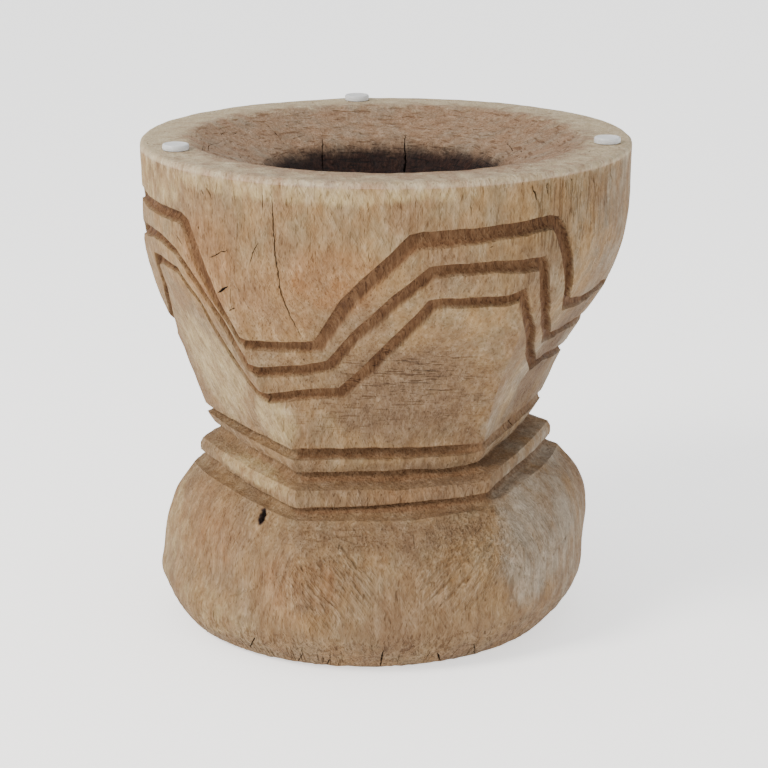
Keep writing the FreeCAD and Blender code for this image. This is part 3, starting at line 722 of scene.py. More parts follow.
fixed = [float(sheet_v(height)) for height in (*(height for height, *rest in WAIST), RIM_LOW)]
fixed += [float(v) for v, radius, height in zip(WAY_V, WAY_RADIUS, WAY_HEIGHT) if v > RIM_START and any(
    abs(radius - r) + abs(height - z) < 1e-6 for r, z in HOLLOW[:4])]
points, edges = lattice(sorted(fixed))
print("lattice:", len(points), "points")

# %% [markdown]
# Lattice points inside a groove or too near to a crisp line would make slivers, so they go. One
# Delaunay call then joins all the points that are left into triangles, and keeps every edge.

# %% From points to triangles
# how near to a crisp line a point may lie: a share of the spacing, and millimetres on a fixed row
CLEAR_SHARE, CLEAR_ON_FIXED = 0.5, 0.6
is_fixed = np.zeros(len(points), bool)
for edge in edges:
    is_fixed[list(edge)] = True
is_fixed |= (points[:, 0] == 0) | (points[:, 0] == TURN)
off_seam = np.column_stack([np.clip(points[:, 0], 1e-6, TURN - 1e-6), points[:, 1]])
drop = in_bands(off_seam, [(0, 0)])
feature = np.concatenate(constraint_lines)
finder = kdtree.KDTree(len(feature))
for index, (x, y) in enumerate(feature):
    finder.insert((x, y, 0), index)
finder.balance()
near = np.array([finder.find((x, y, 0))[2] for x, y in points]) * sheet_radius(points[:, 1])
drop |= (near < CLEAR_SHARE * spacing(points[:, 1])) & ~is_fixed
drop |= (near < CLEAR_ON_FIXED) & is_fixed & (points[:, 0] > 0) & (points[:, 0] < TURN)
number = np.cumsum(~drop) - 1
sheet_points = [Vector(point) for point in points[~drop]]
sheet_edges = [(int(number[a]), int(number[b])) for a, b in edges if not (drop[a] or drop[b])]
known = [0.0] * len(sheet_points)
for line, depth in zip(constraint_lines, row_depths):
    start = len(sheet_points)
    sheet_points += [Vector(point) for point in line]
    known += [depth] * len(line)
    sheet_edges += [(index, index + 1) for index in range(start, len(sheet_points) - 1)]
flat, _, triangles, sources, _, _ = geometry.delaunay_2d_cdt(
    sheet_points, sheet_edges, [], 0, 1e-6, True)
flat = np.array([tuple(point) for point in flat])
triangles = np.array(triangles)
carved = np.array([max((known[index] for index in source), default=-1.0) for source in sources])
print("points:", len(flat), "triangles:", len(triangles), "met by chance:", int((carved < 0).sum()))

# %% [markdown]
# Now the sheet is rolled up. Each point of a groove sinks by its row's share of the depth, and a
# point that the Delaunay call added where two lines cross takes the mean of its neighbours. The
# two sides of the seam are welded.

# %% Roll the sheet up into the log
for index in np.where(carved < 0)[0]:
    around = np.unique(triangles[(triangles == index).any(1)])
    carved[index] = max(0.0, np.mean([carved[other] for other in around if carved[other] >= 0]))
seam_end = np.where(flat[:, 0] > TURN - 1e-7)[0]
seam_start = np.where(flat[:, 0] < 1e-7)[0]
weld = np.arange(len(flat))
order = seam_start[np.argsort(flat[seam_start, 1])]
weld[seam_end[np.argsort(flat[seam_end, 1])]] = order
print("seam:", len(seam_start), len(seam_end), "furthest apart:",
      float(np.abs(np.sort(flat[seam_end, 1]) - np.sort(flat[seam_start, 1])).max()))
normals = outward(flat[:, 0], flat[:, 1])
surface = rolled(flat[:, 0], flat[:, 1])
chip_depth = CHIP_DEPTH * (1 + wobble(flat[:, 0] * BOWL_UNIT, 11, 0.12))
surface -= normals * (carved * chip_depth)[:, None]
faces = weld[triangles]
faces = faces[(faces[:, 0] != faces[:, 1]) & (faces[:, 1] != faces[:, 2]) & (faces[:, 0] != faces[:, 2])]

# %% [markdown]
# The sheet's lower edge is a small ring under the foot, and its upper edge one on the well's
# floor. A fan of triangles round a middle point closes each, so the log is one closed skin.

# %% Close the sole and the well, and make the mesh
foot_ring = np.where(flat[:, 1] < 1e-9)[0]
well_ring = np.where(flat[:, 1] > WAY_V[-1] - 1e-9)[0]
hubs = []
for ring, turn in ((foot_ring, -1), (well_ring, 1)):
    ring = ring[np.argsort(flat[ring, 0])]
    hub = len(surface) + len(hubs)
    hubs.append(surface[ring].mean(0))
    pairs = np.column_stack([weld[ring[:-1]], weld[ring[1:]]])[:, ::turn]
    faces = np.concatenate([faces, np.column_stack([pairs, np.full(len(pairs), hub)])])
surface = np.concatenate([surface, hubs])
normals = np.concatenate([normals, [(0, 0, -1), (0, 0, 1)]])
carved = np.concatenate([carved, [0, 0]])
flat = np.concatenate([flat, [(0, 0), (0, WAY_V[-1])]])
used = np.unique(faces)
number = np.full(len(surface), -1)
number[used] = np.arange(len(used))
faces, surface, normals, carved, flat = number[faces], surface[used], normals[used], carved[used], flat[used]

log_mesh = bpy.data.meshes.new("carved_log")
log_mesh.from_pydata((surface * MM).tolist(), [], faces.tolist())
print("log:", len(surface), "points,", len(faces), "triangles, wrong:", log_mesh.validate())

# %% [markdown]
# Each point of the log keeps a few numbers of its own, which the wood's material reads later: how
# deep the chip is, where the wood is warm, pale, grey, brown or sooty, and where a tool chattered.
# The brown, the soot, the flutes' dirt and the chips' tint carry painted shade as well.
# They are painted as soft round zones, by angle and height. The zones' ragged borders come from
# noise in the material. "torn" is where fibres were torn out, and the two fans are where the strokes
# of the adze spread to the right and to the left.

# %% Zones of colour and wear
# angle, height, half reach in degrees, half reach in millimetres, strength
ZONES = {
    "warm": (
        (-62, 108, 24, 42, 0.45), (-46, 172, 22, 22, 0.4), (-22, 82, 16, 40, 0.45),
        (-45, 385, 12, 60, 0.55), (-12, 382, 14, 40, 0.6), (8, 160, 26, 14, 0.35), (-28, 355, 14, 50, 0.5),
        (20, 60, 24, 40, 0.25), (120, 100, 40, 50, 0.5), (200, 180, 50, 30, 0.5), (170, 380, 40, 50, 0.45),
        (250, 110, 30, 40, 0.5)),
    "pale": (
        (-62, 268, 22, 66, 0.65), (-33, 232, 10, 30, 0.65), (50, 262, 9, 60, 0.4), (-96, 80, 34, 80, 0.45),
        (-50, 166, 26, 12, 0.6), (-50, 36, 24, 26, 0.4), (-72, 448, 24, 26, 0.5), (-22, 463, 46, 12, 0.6),
        (150, 260, 40, 40, 0.6), (230, 60, 30, 40, 0.5), (215, 420, 40, 40, 0.5)),
    "grey": (
        (58, 104, 20, 50, 0.6), (84, 70, 42, 56, 0.4), (70, 142, 30, 22, 0.5), (75, 400, 28, 80, 0.35),
        (85, 170, 34, 50, 0.35), (46, 100, 12, 56, 0.7), (48, 250, 12, 60, 0.4), (104, 300, 26, 120, 0.4),
        (180, 30, 60, 30, 0.4)),
    "brown": (
        (8, 262, 30, 62, 0.85), (68, 272, 18, 80, 0.9), (80, 360, 22, 60, 0.4), (0, 128, 40, 16, 0.7),
        (20, 300, 40, 20, 0.5), (-8, 18, 40, 20, 0.35), (-40, 95, 30, 64, 0.3), (0, 372, 26, 38, 0.35),
        (10, 170, 40, 30, 0.75), (-20, 90, 16, 40, 0.7), (-12, 350, 14, 50, 0.5), (30, 385, 16, 34, 0.45),
        (190, 262, 30, 40, 0.6), (110, 240, 20, 40, 0.4)),
    "chatter": (
        (8, 282, 22, 34, 1), (-8, 240, 20, 22, 0.5), (28, 250, 10, 22, 0.5), (-14, 128, 18, 10, 0.5),
        (120, 262, 20, 34, 0.8), (200, 250, 24, 30, 0.8)),
    "torn": (
        (46, 436, 18, 40, 1), (10, 8, 360, 34, 0.9), (72, 300, 14, 60, 0.8), (66, 205, 18, 36, 0.9),
        (39, 100, 7, 40, 0.6), (30, 136, 14, 10, 0.8), (-30, 430, 26, 36, 0.35), (160, 440, 60, 30, 0.6),
        (250, 420, 30, 40, 0.5)),
    "right_fan": ((24, 98, 16, 40, 1), (150, 90, 20, 40, 1)),
    "left_fan": ((-14, 86, 14, 34, 1), (50, 100, 12, 30, 0.6), (235, 90, 20, 40, 1)),
}
# soot and dust, with painted shade, darken the waist's flutes right under each lip: height, share
DIRT_AND_SHADE = (
    (141.9, 0), (142.3, 0.4), (146.4, 0.45), (147.3, 0.9), (151.8, 1), (152.2, 0), (170.8, 0), (171.3, 0.3),
    (174.2, 0.35), (175, 0.9), (183.7, 1), (184.2, 0), (199.5, 0), (200.4, 0.8), (206.8, 1), (207.3, 0))
# and less of it left of the front facet and right of it: angle, share
DIRT_AND_SHADE_ANGLES, DIRT_AND_SHADE_SHARES = (-27.5, -25.5, 33, 42), (0.3, 1, 1, 0.6)
print("zones:", sum(len(zones) for zones in ZONES.values()))

# %% [markdown]
# A zone is full in its middle and fades to nothing about a third past its half reach. Where zones
# of one name overlap, the stronger one counts.


# %% Helpers for painting
def painted(zones, angle, height):
    """How strongly a few soft round zones cover each point, from 0 to 1."""
    cover = np.zeros(len(angle))
    for middle, level_height, reach_angle, reach_height, strength in zones:
        turn = (angle - middle + 180) % 360 - 180
        away = np.hypot(turn / reach_angle, (height - level_height) / reach_height)
        share = np.clip((1.35 - away) / 0.8, 0, 1)
        cover = np.maximum(cover, strength * share * share * (3 - 2 * share))
    return cover


def keep_number(mesh, name, values):
    """Stores one number for every point of a mesh."""
    mesh.attributes.new(name, "FLOAT", "POINT").data.foreach_set("value", np.asarray(values, np.float32))


def soft_step(value, low, high):
    """0 below low, 1 above high, and a smooth rise between."""
    share = np.clip((value - low) / (high - low), 0, 1)
    return share * share * (3 - 2 * share)


print("half way up a soft step:", float(soft_step(0.5, 0, 1)))

# %% [markdown]
# The waist and the foot of the bowl are brown, partly stained and partly painted shade, the rim is
# weathered grey, the funnel reddish brown, and the well almost black with soot and painted shade.

# %% Paint the numbers on the log's points
angle, height = np.degrees(flat[:, 0]) - 180, np.interp(flat[:, 1], WAY_V, WAY_HEIGHT)
outer = flat[:, 1] <= RIM_START
reach = np.hypot(surface[:, 0], surface[:, 1])
numbers = {name: painted(zones, angle, height) * outer for name, zones in ZONES.items()}
# below the bowl's middle the wood turns browner, with stain and with painted shade
numbers["brown"] = np.maximum(numbers["brown"], 0.5 * outer * (1 - soft_step(height, 300, 370)))
dirt = np.interp(height, [row[0] for row in DIRT_AND_SHADE], [row[1] for row in DIRT_AND_SHADE])
numbers["dirt"] = dirt * np.interp(angle, DIRT_AND_SHADE_ANGLES, DIRT_AND_SHADE_SHARES) * outer
# the grooves' depth also sets their dark tint: stain and painted shade under the lip
numbers["groove"] = carved
facing_back = 0.5 - 0.5 * np.cos(np.radians(angle))
numbers["rim"] = np.where(outer, soft_step(height, 459, 477), soft_step(reach, 165, 215)) * (
    0.6 + 0.4 * np.minimum(1, 2 * facing_back))
for name, share in (("brown", 0.55), ("grey", 0.4), ("warm", 0.6)):
    numbers[name] = np.where(outer, numbers[name], share)
numbers["funnel"] = np.where(outer, 0, 1)
numbers["chatter"] = np.where(outer, numbers["chatter"], 0.9 * soft_step(-reach, -196, -180))
# the well darkens with depth, with soot and painted shade
numbers["soot"] = np.where(outer, 0, soft_step(-height, -461, -430))
# the large worm hole, first of the pits, is painted as dark as the well: painted shade in the hole
hole_angle, hole_height, half_width, length, _ = PITS[0]
across = np.radians(angle - hole_angle) * reach / half_width
numbers["soot"] = np.maximum(numbers["soot"], soft_step(
    -np.hypot(across, (height - hole_height) * 2 / length), -1.25, -1))
# how much the hand-worked surface may wander: not on the foot's sole or under the bumpers
near_bumper = np.min([np.hypot(*(surface[:, :2] - np.array(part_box(name)).mean(0)[:2] / MM).T)
                      for name in ("bumper_left", "bumper_back", "bumper_right")], 0)
worked_outside = np.interp(height, (2, 12, 200, 320, 450, 472), (0, 1, 1, 0.6, 0.6, 0.35))
worked_inside = np.interp(reach, (120, 170, 205, 235), (0.8, 0.8, 0.35, 0.35))
numbers["worked"] = np.where(outer, worked_outside, soft_step(near_bumper, 15, 32) * worked_inside)
for name, values in numbers.items():
    keep_number(log_mesh, name, values)
inward = log_mesh.attributes.new("inward", "FLOAT_VECTOR", "POINT")
inward.data.foreach_set("vector", np.asarray(-normals, np.float32).ravel())
print("painted:", ", ".join(numbers))

# %% [markdown]
# The wood is an old tropical hardwood, hewn with an adze and never oiled: dry, matt and dusty. Its
# colour wanders between tan and brown, fibres run up and down, and short pores make dark dashes.
# The sizes of patches, blotches and tool marks are real ones. Fibres and pores of a tenth of a
# millimetre would be too fine to see from here, so they are drawn one and a half to three
# millimetres wide.

# %% Patterns of dry hand-hewn hardwood
# name, size of the pattern in mm across (X and Y) and along (Z), lean in degrees, detail
PATTERNS = (
    ("patches", 60, 85, 0, 3), ("blotches", 10, 22, 3, 4), ("fibres", 3, 60, -1, 3),
    ("left_hatch", 2.8, 19, -24, 1), ("right_hatch", 2.8, 19, 22, 1), ("specks", 4, 4, 0, 2),
    ("pores", 1.5, 12, 3, 1), ("tool_marks", 18, 1.7, 2, 3), ("borders", 14, 18, 0, 5),
    ("hues", 24, 34, 8, 4), ("right_strokes", 2.2, 34, 40, 1), ("left_strokes", 2.2, 34, -36, 1))
wood, tree = new_material("dry_hand_hewn_hardwood")
coordinates = add_node(tree, "ShaderNodeTexCoord")
pattern = {}
for name, across, along, lean, detail in PATTERNS:
    placed = add_node(tree, "ShaderNodeMapping", {
        "Vector": coordinates.outputs["Object"], "Rotation": (0, math.radians(lean), 0),
        "Scale": [size * MM for size in (across, across, along)]}, vector_type="TEXTURE")
    noise = add_node(tree, "ShaderNodeTexNoise", {
        "Vector": placed.outputs["Vector"], "Scale": 1, "Detail": detail, "Roughness": 0.6})
    pattern[name] = noise.outputs["Fac"]
number = {name: add_node(tree, "ShaderNodeAttribute", attribute_name=name).outputs["Fac"]
          for name in (*numbers, "cut")}
print("patterns:", ", ".join(pattern))

# %% [markdown]
# The wood's own colour goes from one tan to another in large patches, with dust in places. Over it
# lie the tints, each where its number is high; some of them carry painted shade. The noise
# makes a tint's border ragged.

# %% Colours of the wood
# a zone's number, made ragged: name, colour, low and high end of its rise, raggedness and its pattern
# the brown, dirt, groove and soot tints are partly painted shade, and the cut tint is painted shade in the
# cuts
TINTS = (
    ("funnel", "#9e826a", 0.1, 0.5, 0.3, "borders"), ("brown", "#6a543f", 0.0, 1.15, 0.9, "borders"),
    ("warm", "#865d37", 0.15, 1.15, 1.3, "hues"), ("pale", "#a9966f", 0.2, 1.1, 1.3, "borders"),
    ("grey", "#897c6b", 0.1, 0.85, 1.3, "hues"), ("rim", "#b0a185", 0.1, 1.1, 1.8, "borders"),
    ("dirt", "#6e5137", 0.05, 0.95, 0.3, "borders"), ("groove", "#62452c", -0.05, 0.62, 0.2, "borders"),
    ("soot", "#22110b", 0.05, 0.95, 0.5, "borders"), ("cut", "#1e110a", 0.1, 0.8, 0.0, "borders"))
tan = add_node(tree, "ShaderNodeMapRange", {
    "Value": pattern["patches"], "From Min": 0.3, "From Max": 0.7}, interpolation_type="SMOOTHSTEP")
colour = add_node(tree, "ShaderNodeMix", {
    0: tan.outputs["Result"], 6: linear("#8c704c"), 7: linear("#765d43")}, data_type="RGBA").outputs[2]
dusty = add_node(tree, "ShaderNodeMapRange", {
    "Value": pattern["hues"], "From Min": 0.4, "From Max": 0.68, "To Max": 0.6},
    interpolation_type="SMOOTHSTEP")
colour = add_node(tree, "ShaderNodeMix", {
    0: dusty.outputs["Result"], 6: colour, 7: linear("#827258")}, data_type="RGBA").outputs[2]
for name, code, low, high, ragged, border in TINTS:
    uneven = add_node(tree, "ShaderNodeMath", {0: pattern[border], 1: ragged, 2: -0.5 * ragged},
                      operation="MULTIPLY_ADD")
    cover = add_node(tree, "ShaderNodeMath", {0: number[name], 1: uneven.outputs[0]}, operation="ADD")
    cover = add_node(tree, "ShaderNodeMapRange", {
        "Value": cover.outputs[0], "From Min": low, "From Max": high}, interpolation_type="SMOOTHSTEP")
    present = add_node(tree, "ShaderNodeMath", {0: number[name], 1: 0.02}, operation="GREATER_THAN")
    cover = add_node(tree, "ShaderNodeMath", {0: cover.outputs["Result"], 1: present.outputs[0]},
                     operation="MULTIPLY")
    colour = add_node(tree, "ShaderNodeMix", {0: cover.outputs[0], 6: colour, 7: linear(code)},
                      data_type="RGBA").outputs[2]
print("tints:", len(TINTS))

# %% [markdown]
# Fibres, crossed tool strokes and specks make the wood a little darker and redder or lighter: the
# colour is raised to a power, above 1 to darken it. Sparse dark marks come where a pattern passes
# a threshold: pores of the grain, and torn fibres and hatch strokes that are partly painted shade in
# their small tears. The same patterns raise and sink the surface a little, as a bump.

# %% Fibres, pores and tool marks
WEIGHTS = (("fibres", 0.5), ("left_hatch", 0.3), ("right_hatch", 0.3), ("specks", 0.2), ("blotches", 0.7))
# raised fibres and strokes, in shares of the bump's distance
RELIEF = (("fibres", 0.65), ("left_hatch", 0.75), ("right_hatch", 0.75), ("specks", 0.25), ("blotches", 1.2))
# sparse dark marks, pores and torn fibres and hatch strokes partly painted shade: pattern, low and
# high end of the mark, its zone, darkening, depth
MARKS = (
    ("pores", 0.64, 0.72, None, 0.25, 0.3), ("left_hatch", 0.6, 0.7, None, 0.16, 0.3),
    ("right_hatch", 0.6, 0.7, None, 0.16, 0.3), ("fibres", 0.52, 0.62, "torn", 0.35, 0.6),
    ("tool_marks", 0.56, 0.66, "chatter", 0.4, 0.3))
FANS = (("right_strokes", "right_fan"), ("left_strokes", "left_fan"))
FAN_WEIGHT, FAN_RELIEF, BUMP_MM = 0.6, 2.4, 1.8
darker, deeper = [], []
for name, low, high, zone, darkening, depth in MARKS:
    mark = add_node(tree, "ShaderNodeMapRange", {
        "Value": pattern[name], "From Min": low, "From Max": high},
        interpolation_type="SMOOTHSTEP").outputs[0]
    if zone:
        mark = add_node(tree, "ShaderNodeMath", {0: mark, 1: number[zone]}, operation="MULTIPLY").outputs[0]
    darker.append((mark, darkening))
    deeper.append((mark, -depth))
for name, zone in FANS:
    centred = add_node(tree, "ShaderNodeMath", {0: pattern[name], 1: 0.5}, operation="SUBTRACT").outputs[0]
    fan = add_node(tree, "ShaderNodeMath", {0: centred, 1: number[zone]}, operation="MULTIPLY").outputs[0]
    darker.append((fan, -FAN_WEIGHT))
    deeper.append((fan, FAN_RELIEF))
darker += [(pattern[name], -weight) for name, weight in WEIGHTS]
deeper += [(pattern[name], share) for name, share in RELIEF]
exponent, relief = 1 + 0.5 * sum(weight for _, weight in WEIGHTS), 0.5
for field, weight in darker:
    exponent = add_node(tree, "ShaderNodeMath", {0: field, 1: weight, 2: exponent},
                        operation="MULTIPLY_ADD").outputs[0]
for field, weight in deeper:
    relief = add_node(tree, "ShaderNodeMath", {0: field, 1: weight, 2: relief},
                      operation="MULTIPLY_ADD").outputs[0]
colour = add_node(tree, "ShaderNodeGamma", {"Color": colour, "Gamma": exponent}).outputs["Color"]
bump = add_node(tree, "ShaderNodeBump", {"Height": relief, "Distance": BUMP_MM * MM, "Strength": 1})
roughness = add_node(tree, "ShaderNodeMapRange", {
    "Value": pattern["blotches"], "From Min": 0.3, "From Max": 0.7, "To Min": 0.76, "To Max": 0.92})
shader = add_node(tree, "ShaderNodeBsdfPrincipled", {
    "Base Color": colour, "Roughness": roughness.outputs["Result"], "Specular IOR Level": 0.25, "IOR": 1.5,
    "Normal": bump.outputs["Normal"]})
add_node(tree, "ShaderNodeOutputMaterial", {"Surface": shader.outputs["BSDF"]})
print("wood:", len(tree.nodes), "nodes")

# %% [markdown]
# Two Geometry Nodes trees shape the log's skin, and both only ever take wood away. The first cuts
# the cracks and strokes. It reads their middle lines from a helper object, whose points carry the
# cut's half width and depth, as shares of the widest and the deepest, and its painted shade.

# %% The cut lines as an object
line_points, line_edges, half_shares, depth_shares, painted_shades = [], [], [], [], []
for middle, half, depth, dark in cut_lines:
    start = len(line_points)
    line_points += (rolled(middle[:, 0], middle[:, 1]) * MM).tolist()
    line_edges += [(index, index + 1) for index in range(start, len(line_points) - 1)]
    half_shares += list(half / WIDEST_HALF)
    depth_shares += list(depth / DEEPEST_CUT * np.ones(len(half)))
    painted_shades += [dark] * len(half)
line_mesh = bpy.data.meshes.new("cut_lines")
line_mesh.from_pydata(line_points, line_edges, [])
for name, values in (("half_share", half_shares), ("depth_share", depth_shares), ("dark", painted_shades)):
    keep_number(line_mesh, name, values)
lines = bpy.data.objects.new("cut_lines", line_mesh)
print("cut points:", len(line_points))

# %% [markdown]
# Every geometry tree has a geometry input, a geometry output and one named input for each size. It
# ends in real geometry with its material, and what it makes is kept as a plain mesh.


# %% Helpers for geometry trees
def new_tree(name, sizes):
    """A geometry tree with a geometry input and output, and one named input for each size."""
    tree = bpy.data.node_groups.new(name, "GeometryNodeTree")
    for way in ("INPUT", "OUTPUT"):
        tree.interface.new_socket("Geometry", in_out=way, socket_type="NodeSocketGeometry")
    for size in sizes:
        kind = "NodeSocketObject" if size == "Lines" else "NodeSocketFloat"
        tree.interface.new_socket(size, in_out="INPUT", socket_type=kind)
    return tree, add_node(tree, "NodeGroupInput").outputs


def sunk(tree, shape, depth):
    """The shape with each point sunk into the wood by a depth."""
    way_in = add_node(tree, "GeometryNodeInputNamedAttribute", {"Name": "inward"}, data_type="FLOAT_VECTOR")
    offset = add_node(tree, "ShaderNodeVectorMath", {0: way_in.outputs["Attribute"], "Scale": depth},
                      operation="SCALE")
    moved = add_node(tree, "GeometryNodeSetPosition", {"Geometry": shape, "Offset": offset.outputs["Vector"]})
    return moved.outputs["Geometry"]


def finish_tree(tree, shape, material):
    """Ends a tree in real geometry with its material."""
    real = add_node(tree, "GeometryNodeRealizeInstances", {"Geometry": shape})
    finished = add_node(tree, "GeometryNodeSetMaterial", {
        "Geometry": real.outputs["Geometry"], "Material": material})
    add_node(tree, "NodeGroupOutput", {"Geometry": finished.outputs["Geometry"]})


def shaped_mesh(mesh, tree, sizes, name):
    """The mesh after a geometry tree has worked on it, as a plain mesh."""
    worker = bpy.data.objects.new(name, mesh)
    scene.collection.objects.link(worker)
    modifier = worker.modifiers.new(tree.name, "NODES")
    modifier.node_group = tree
    for socket in tree.interface.items_tree:
        if socket.in_out == "INPUT" and socket.name in sizes:
            modifier[socket.identifier] = sizes[socket.name]
    depsgraph = bpy.context.evaluated_depsgraph_get()
    result = bpy.data.meshes.new_from_object(
        worker.evaluated_get(depsgraph), preserve_all_data_layers=True, depsgraph=depsgraph)
    bpy.data.objects.remove(worker)
    result.name = name
    return result


helpers = (new_tree, sunk, finish_tree, shaped_mesh)
print("helpers:", ", ".join(helper.__name__ for helper in helpers))

# %% [markdown]
# In the first tree every point of the log looks for the nearest cut line. It sinks straight into
# the wood, deepest on the line and not at all past the cut's half width there. It also keeps the
# cut's painted shade there, which darkens the wood in the material.

# %% A tree that cuts the lines
THINNEST_HALF = 0.05 * MM
SHADE_SPREAD, NARROW_FADES = 2.4, 8
tree, sizes = new_tree("cut_along_lines", ("Lines", "Widest Half", "Deepest Cut"))
line_shape = add_node(tree, "GeometryNodeObjectInfo", {"Object": sizes["Lines"]}).outputs["Geometry"]
nearest = add_node(tree, "GeometryNodeSampleNearest", {"Geometry": line_shape}, domain="POINT")
away = add_node(tree, "GeometryNodeProximity", {"Geometry": line_shape}, target_element="EDGES")
line_number = {}
for name in ("half_share", "depth_share", "dark"):
    stored = add_node(tree, "GeometryNodeInputNamedAttribute", {"Name": name}, data_type="FLOAT")
    line_number[name] = add_node(tree, "GeometryNodeSampleIndex", {
        "Geometry": line_shape, "Value": stored.outputs["Attribute"], "Index": nearest.outputs["Index"]},
        data_type="FLOAT", domain="POINT").outputs["Value"]
half = add_node(tree, "ShaderNodeMath", {0: line_number["half_share"], 1: sizes["Widest Half"]},
                operation="MULTIPLY")
half = add_node(tree, "ShaderNodeMath", {0: half.outputs[0], 1: THINNEST_HALF}, operation="MAXIMUM")
fall = add_node(tree, "ShaderNodeMapRange", {
    "Value": away.outputs["Distance"], "From Min": 0, "From Max": half.outputs[0], "To Min": 1, "To Max": 0})
width_share = add_node(tree, "ShaderNodeMath", {0: line_number["half_share"], 1: NARROW_FADES},
                       operation="MULTIPLY", use_clamp=True).outputs[0]
depth = line_number["depth_share"]
for share in (sizes["Deepest Cut"], fall.outputs["Result"], width_share):
    depth = add_node(tree, "ShaderNodeMath", {0: depth, 1: share}, operation="MULTIPLY").outputs[0]
# painted shade in the cut, kept for the material under the name cut
cut = add_node(tree, "ShaderNodeMath", {0: fall.outputs["Result"], 1: SHADE_SPREAD},
               operation="MULTIPLY", use_clamp=True).outputs[0]
for share in (line_number["dark"], width_share):
    cut = add_node(tree, "ShaderNodeMath", {0: cut, 1: share}, operation="MULTIPLY").outputs[0]
kept = add_node(tree, "GeometryNodeStoreNamedAttribute", {
    "Geometry": add_node(tree, "NodeGroupInput").outputs["Geometry"], "Name": "cut", "Value": cut},
    data_type="FLOAT", domain="POINT")
finish_tree(tree, sunk(tree, kept.outputs["Geometry"], depth), wood)
log_mesh = shaped_mesh(log_mesh, tree, {
    "Lines": lines, "Widest Half": WIDEST_HALF * MM, "Deepest Cut": DEEPEST_CUT * MM}, "cut_log")
bpy.data.objects.remove(lines)
print("cut log:", len(log_mesh.vertices), "points")

# %% [markdown]
# The second tree lets the whole surface wander as an adze leaves it: a slow swell, long shallow
# scoops, and torn fibres where the wood is torn. Each is a noise with a size across and along the
# log and a depth, and a number on the points says where it works.

# %% A tree that hews the surface by hand
# below the first value a noise takes nothing away, and above the second its full depth
NOISE_LOW, NOISE_HIGH = 0.25, 0.8
HEWING = {
    "Swell Width": 55, "Swell Length": 55, "Swell Depth": 2.6, "Scoop Width": 17, "Scoop Length": 36,
    "Scoop Depth": 0.7, "Fibre Width": 6, "Fibre Length": 40, "Fibre Depth": 1.6}
tree, sizes = new_tree("hewn_surface", HEWING)
position = add_node(tree, "GeometryNodeInputPosition").outputs["Position"]
total = 0.0
for name, kind, field, number_name in (
        ("Swell", "ShaderNodeTexNoise", "Fac", "worked"),
        ("Scoop", "ShaderNodeTexVoronoi", "Distance", "worked"),
        ("Fibre", "ShaderNodeTexNoise", "Fac", "torn")):
    width, length, deepest = (sizes[f"{name} {size}"] for size in ("Width", "Length", "Depth"))
    size = add_node(tree, "ShaderNodeCombineXYZ", {"X": width, "Y": width, "Z": length})
    place = add_node(tree, "ShaderNodeVectorMath", {0: position, 1: size.outputs["Vector"]},
                     operation="DIVIDE")
    noise = add_node(tree, kind, {"Vector": place.outputs["Vector"], "Scale": 1})
    amount = add_node(tree, "ShaderNodeMapRange", {
        "Value": noise.outputs[field], "From Min": NOISE_LOW, "From Max": NOISE_HIGH}).outputs["Result"]
    where = add_node(tree, "GeometryNodeInputNamedAttribute", {"Name": number_name}, data_type="FLOAT")
    for share in (deepest, where.outputs["Attribute"]):
        amount = add_node(tree, "ShaderNodeMath", {0: amount, 1: share}, operation="MULTIPLY").outputs[0]
    total = add_node(tree, "ShaderNodeMath", {0: total, 1: amount}, operation="ADD").outputs[0]
unhewn = add_node(tree, "NodeGroupInput").outputs["Geometry"]
finish_tree(tree, sunk(tree, unhewn, total), wood)
log_mesh = shaped_mesh(log_mesh, tree, {name: size * MM for name, size in HEWING.items()}, "carved_log")
SHARP_ANGLE = 38
log_mesh.set_sharp_from_angle(angle=math.radians(SHARP_ANGLE))
log = bpy.data.objects.new("carved_log", log_mesh)
scene.collection.objects.link(log)
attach(log, "root")
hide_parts("carved_log_body")
print("hewn log:", len(log_mesh.vertices), "points,", len(log_mesh.polygons), "triangles")

# %% [markdown]
# Three clear bumpers keep the glass top off the rim, each on its adhesive film. A bumper is a small
# moulded disc of soft clear plastic, milky in thick places. The film is clear acrylic, a little
# duller.

# %% Clear plastic and adhesive film
clear = {}
for kind, name, code, roughness, bending, transparency in (
        ("bumper", "moulded_soft_clear_plastic", "#eef0f1", 0.22, 1.5, 0.35),
        ("adhesive_disc", "clear_acrylic_adhesive_film", "#dcd9d2", 0.35, 1.47, 0.5)):
    clear[kind], tree = new_material(name)
    shader = add_node(tree, "ShaderNodeBsdfPrincipled", {
        "Base Color": linear(code), "Roughness": roughness, "IOR": bending,
        "Transmission Weight": transparency})
    add_node(tree, "ShaderNodeOutputMaterial", {"Surface": shader.outputs["BSDF"]})
print("materials:", ", ".join(material.name for material in clear.values()))

# %% [markdown]
# A bumper has a rounded edge and a slightly dished top. A tree turns each disc out of a circle by
# pushing its top face up and scaling it, ring after ring, so that one list of shares gives the
# whole profile. The disc takes its size and place from the box of the solid that it replaces.

# %% Turned discs
# rings from the bottom edge to the middle of the top: share of the radius, share of the height
BUMPER_RINGS = (
    (0.975, 0), (1, 0.08), (1, 0.6), (0.985, 0.76), (0.95, 0.9), (0.9, 0.975), (0.85, 1), (0.79, 0.985),
    (0.74, 0.93), (0.66, 0.9), (0.3, 0.88))
FILM_RINGS = ((0.98, 0), (1, 0.3), (1, 0.8), (0.985, 1))
DISC_SIDES, DISC_SHARP_ANGLE, WELDED_BELOW = 72, 50, 0.01


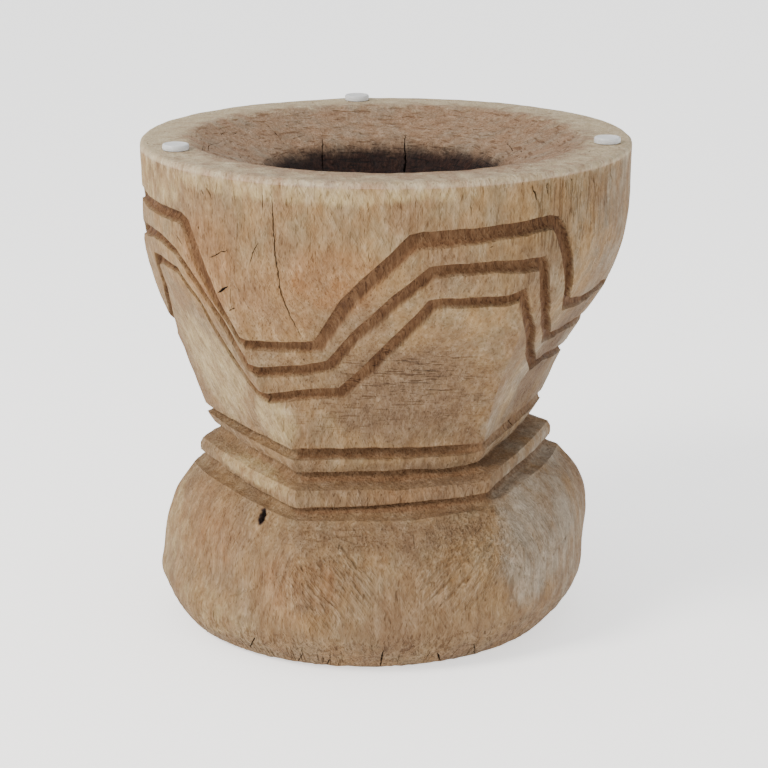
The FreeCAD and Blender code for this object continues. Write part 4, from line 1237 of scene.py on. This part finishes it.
def disc_tree(name, rings, material):
    """A tree that turns a closed disc from its rings."""
    tree, sizes = new_tree(name, ("Radius", "Height"))
    start = add_node(tree, "ShaderNodeMath", {0: sizes["Radius"], 1: rings[0][0]}, operation="MULTIPLY")
    circle = add_node(tree, "GeometryNodeMeshCircle", {"Vertices": DISC_SIDES, "Radius": start.outputs[0]},
                      fill_type="NGON")
    sole = add_node(tree, "GeometryNodeFlipFaces", {"Mesh": circle.outputs["Mesh"]})
    shape, top = circle.outputs["Mesh"], True
    for (share, low), (next_share, high) in zip(rings, rings[1:]):
        rise = add_node(tree, "ShaderNodeMath", {0: sizes["Height"], 1: high - low}, operation="MULTIPLY")
        up = add_node(tree, "ShaderNodeCombineXYZ", {"Z": rise.outputs[0]})
        pushed = add_node(tree, "GeometryNodeExtrudeMesh", {
            "Mesh": shape, "Selection": top, "Offset": up.outputs["Vector"], "Offset Scale": 1,
            "Individual": False})
        scaled = add_node(tree, "GeometryNodeScaleElements", {
            "Geometry": pushed.outputs["Mesh"], "Selection": pushed.outputs["Top"],
            "Scale": next_share / share})
        shape, top = scaled.outputs["Geometry"], pushed.outputs["Top"]
    joined = add_node(tree, "GeometryNodeJoinGeometry")
    tree.links.new(sole.outputs["Mesh"], joined.inputs["Geometry"])
    tree.links.new(shape, joined.inputs["Geometry"])
    merged = add_node(tree, "GeometryNodeMergeByDistance", {
        "Geometry": joined.outputs["Geometry"], "Distance": WELDED_BELOW * MM})
    finish_tree(tree, merged.outputs["Geometry"], material)
    return tree


for kind, rings, slot in (
        ("bumper", BUMPER_RINGS, "clear_bumper"), ("adhesive_disc", FILM_RINGS, "clear_adhesive")):
    tree = disc_tree(f"turned_{kind}", rings, clear[kind])
    for side in ("left", "back", "right"):
        low, high = (Vector(corner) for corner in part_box(f"{kind}_{side}"))
        mesh = shaped_mesh(bpy.data.meshes.new(f"{kind}_start"), tree, {
            "Radius": (high.x - low.x) / 2, "Height": high.z - low.z}, f"clear_{kind}_{side}")
        middle = ((low.x + high.x) / 2, (low.y + high.y) / 2, low.z)
        for vertex in mesh.vertices:
            vertex.co += Vector(middle)
        mesh.set_sharp_from_angle(angle=math.radians(DISC_SHARP_ANGLE))
        disc = bpy.data.objects.new(f"clear_{kind}_{side}", mesh)
        scene.collection.objects.link(disc)
        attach(disc, "root")
        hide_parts(f"{kind}_{side}")
        print(disc.name, len(mesh.polygons), "faces")
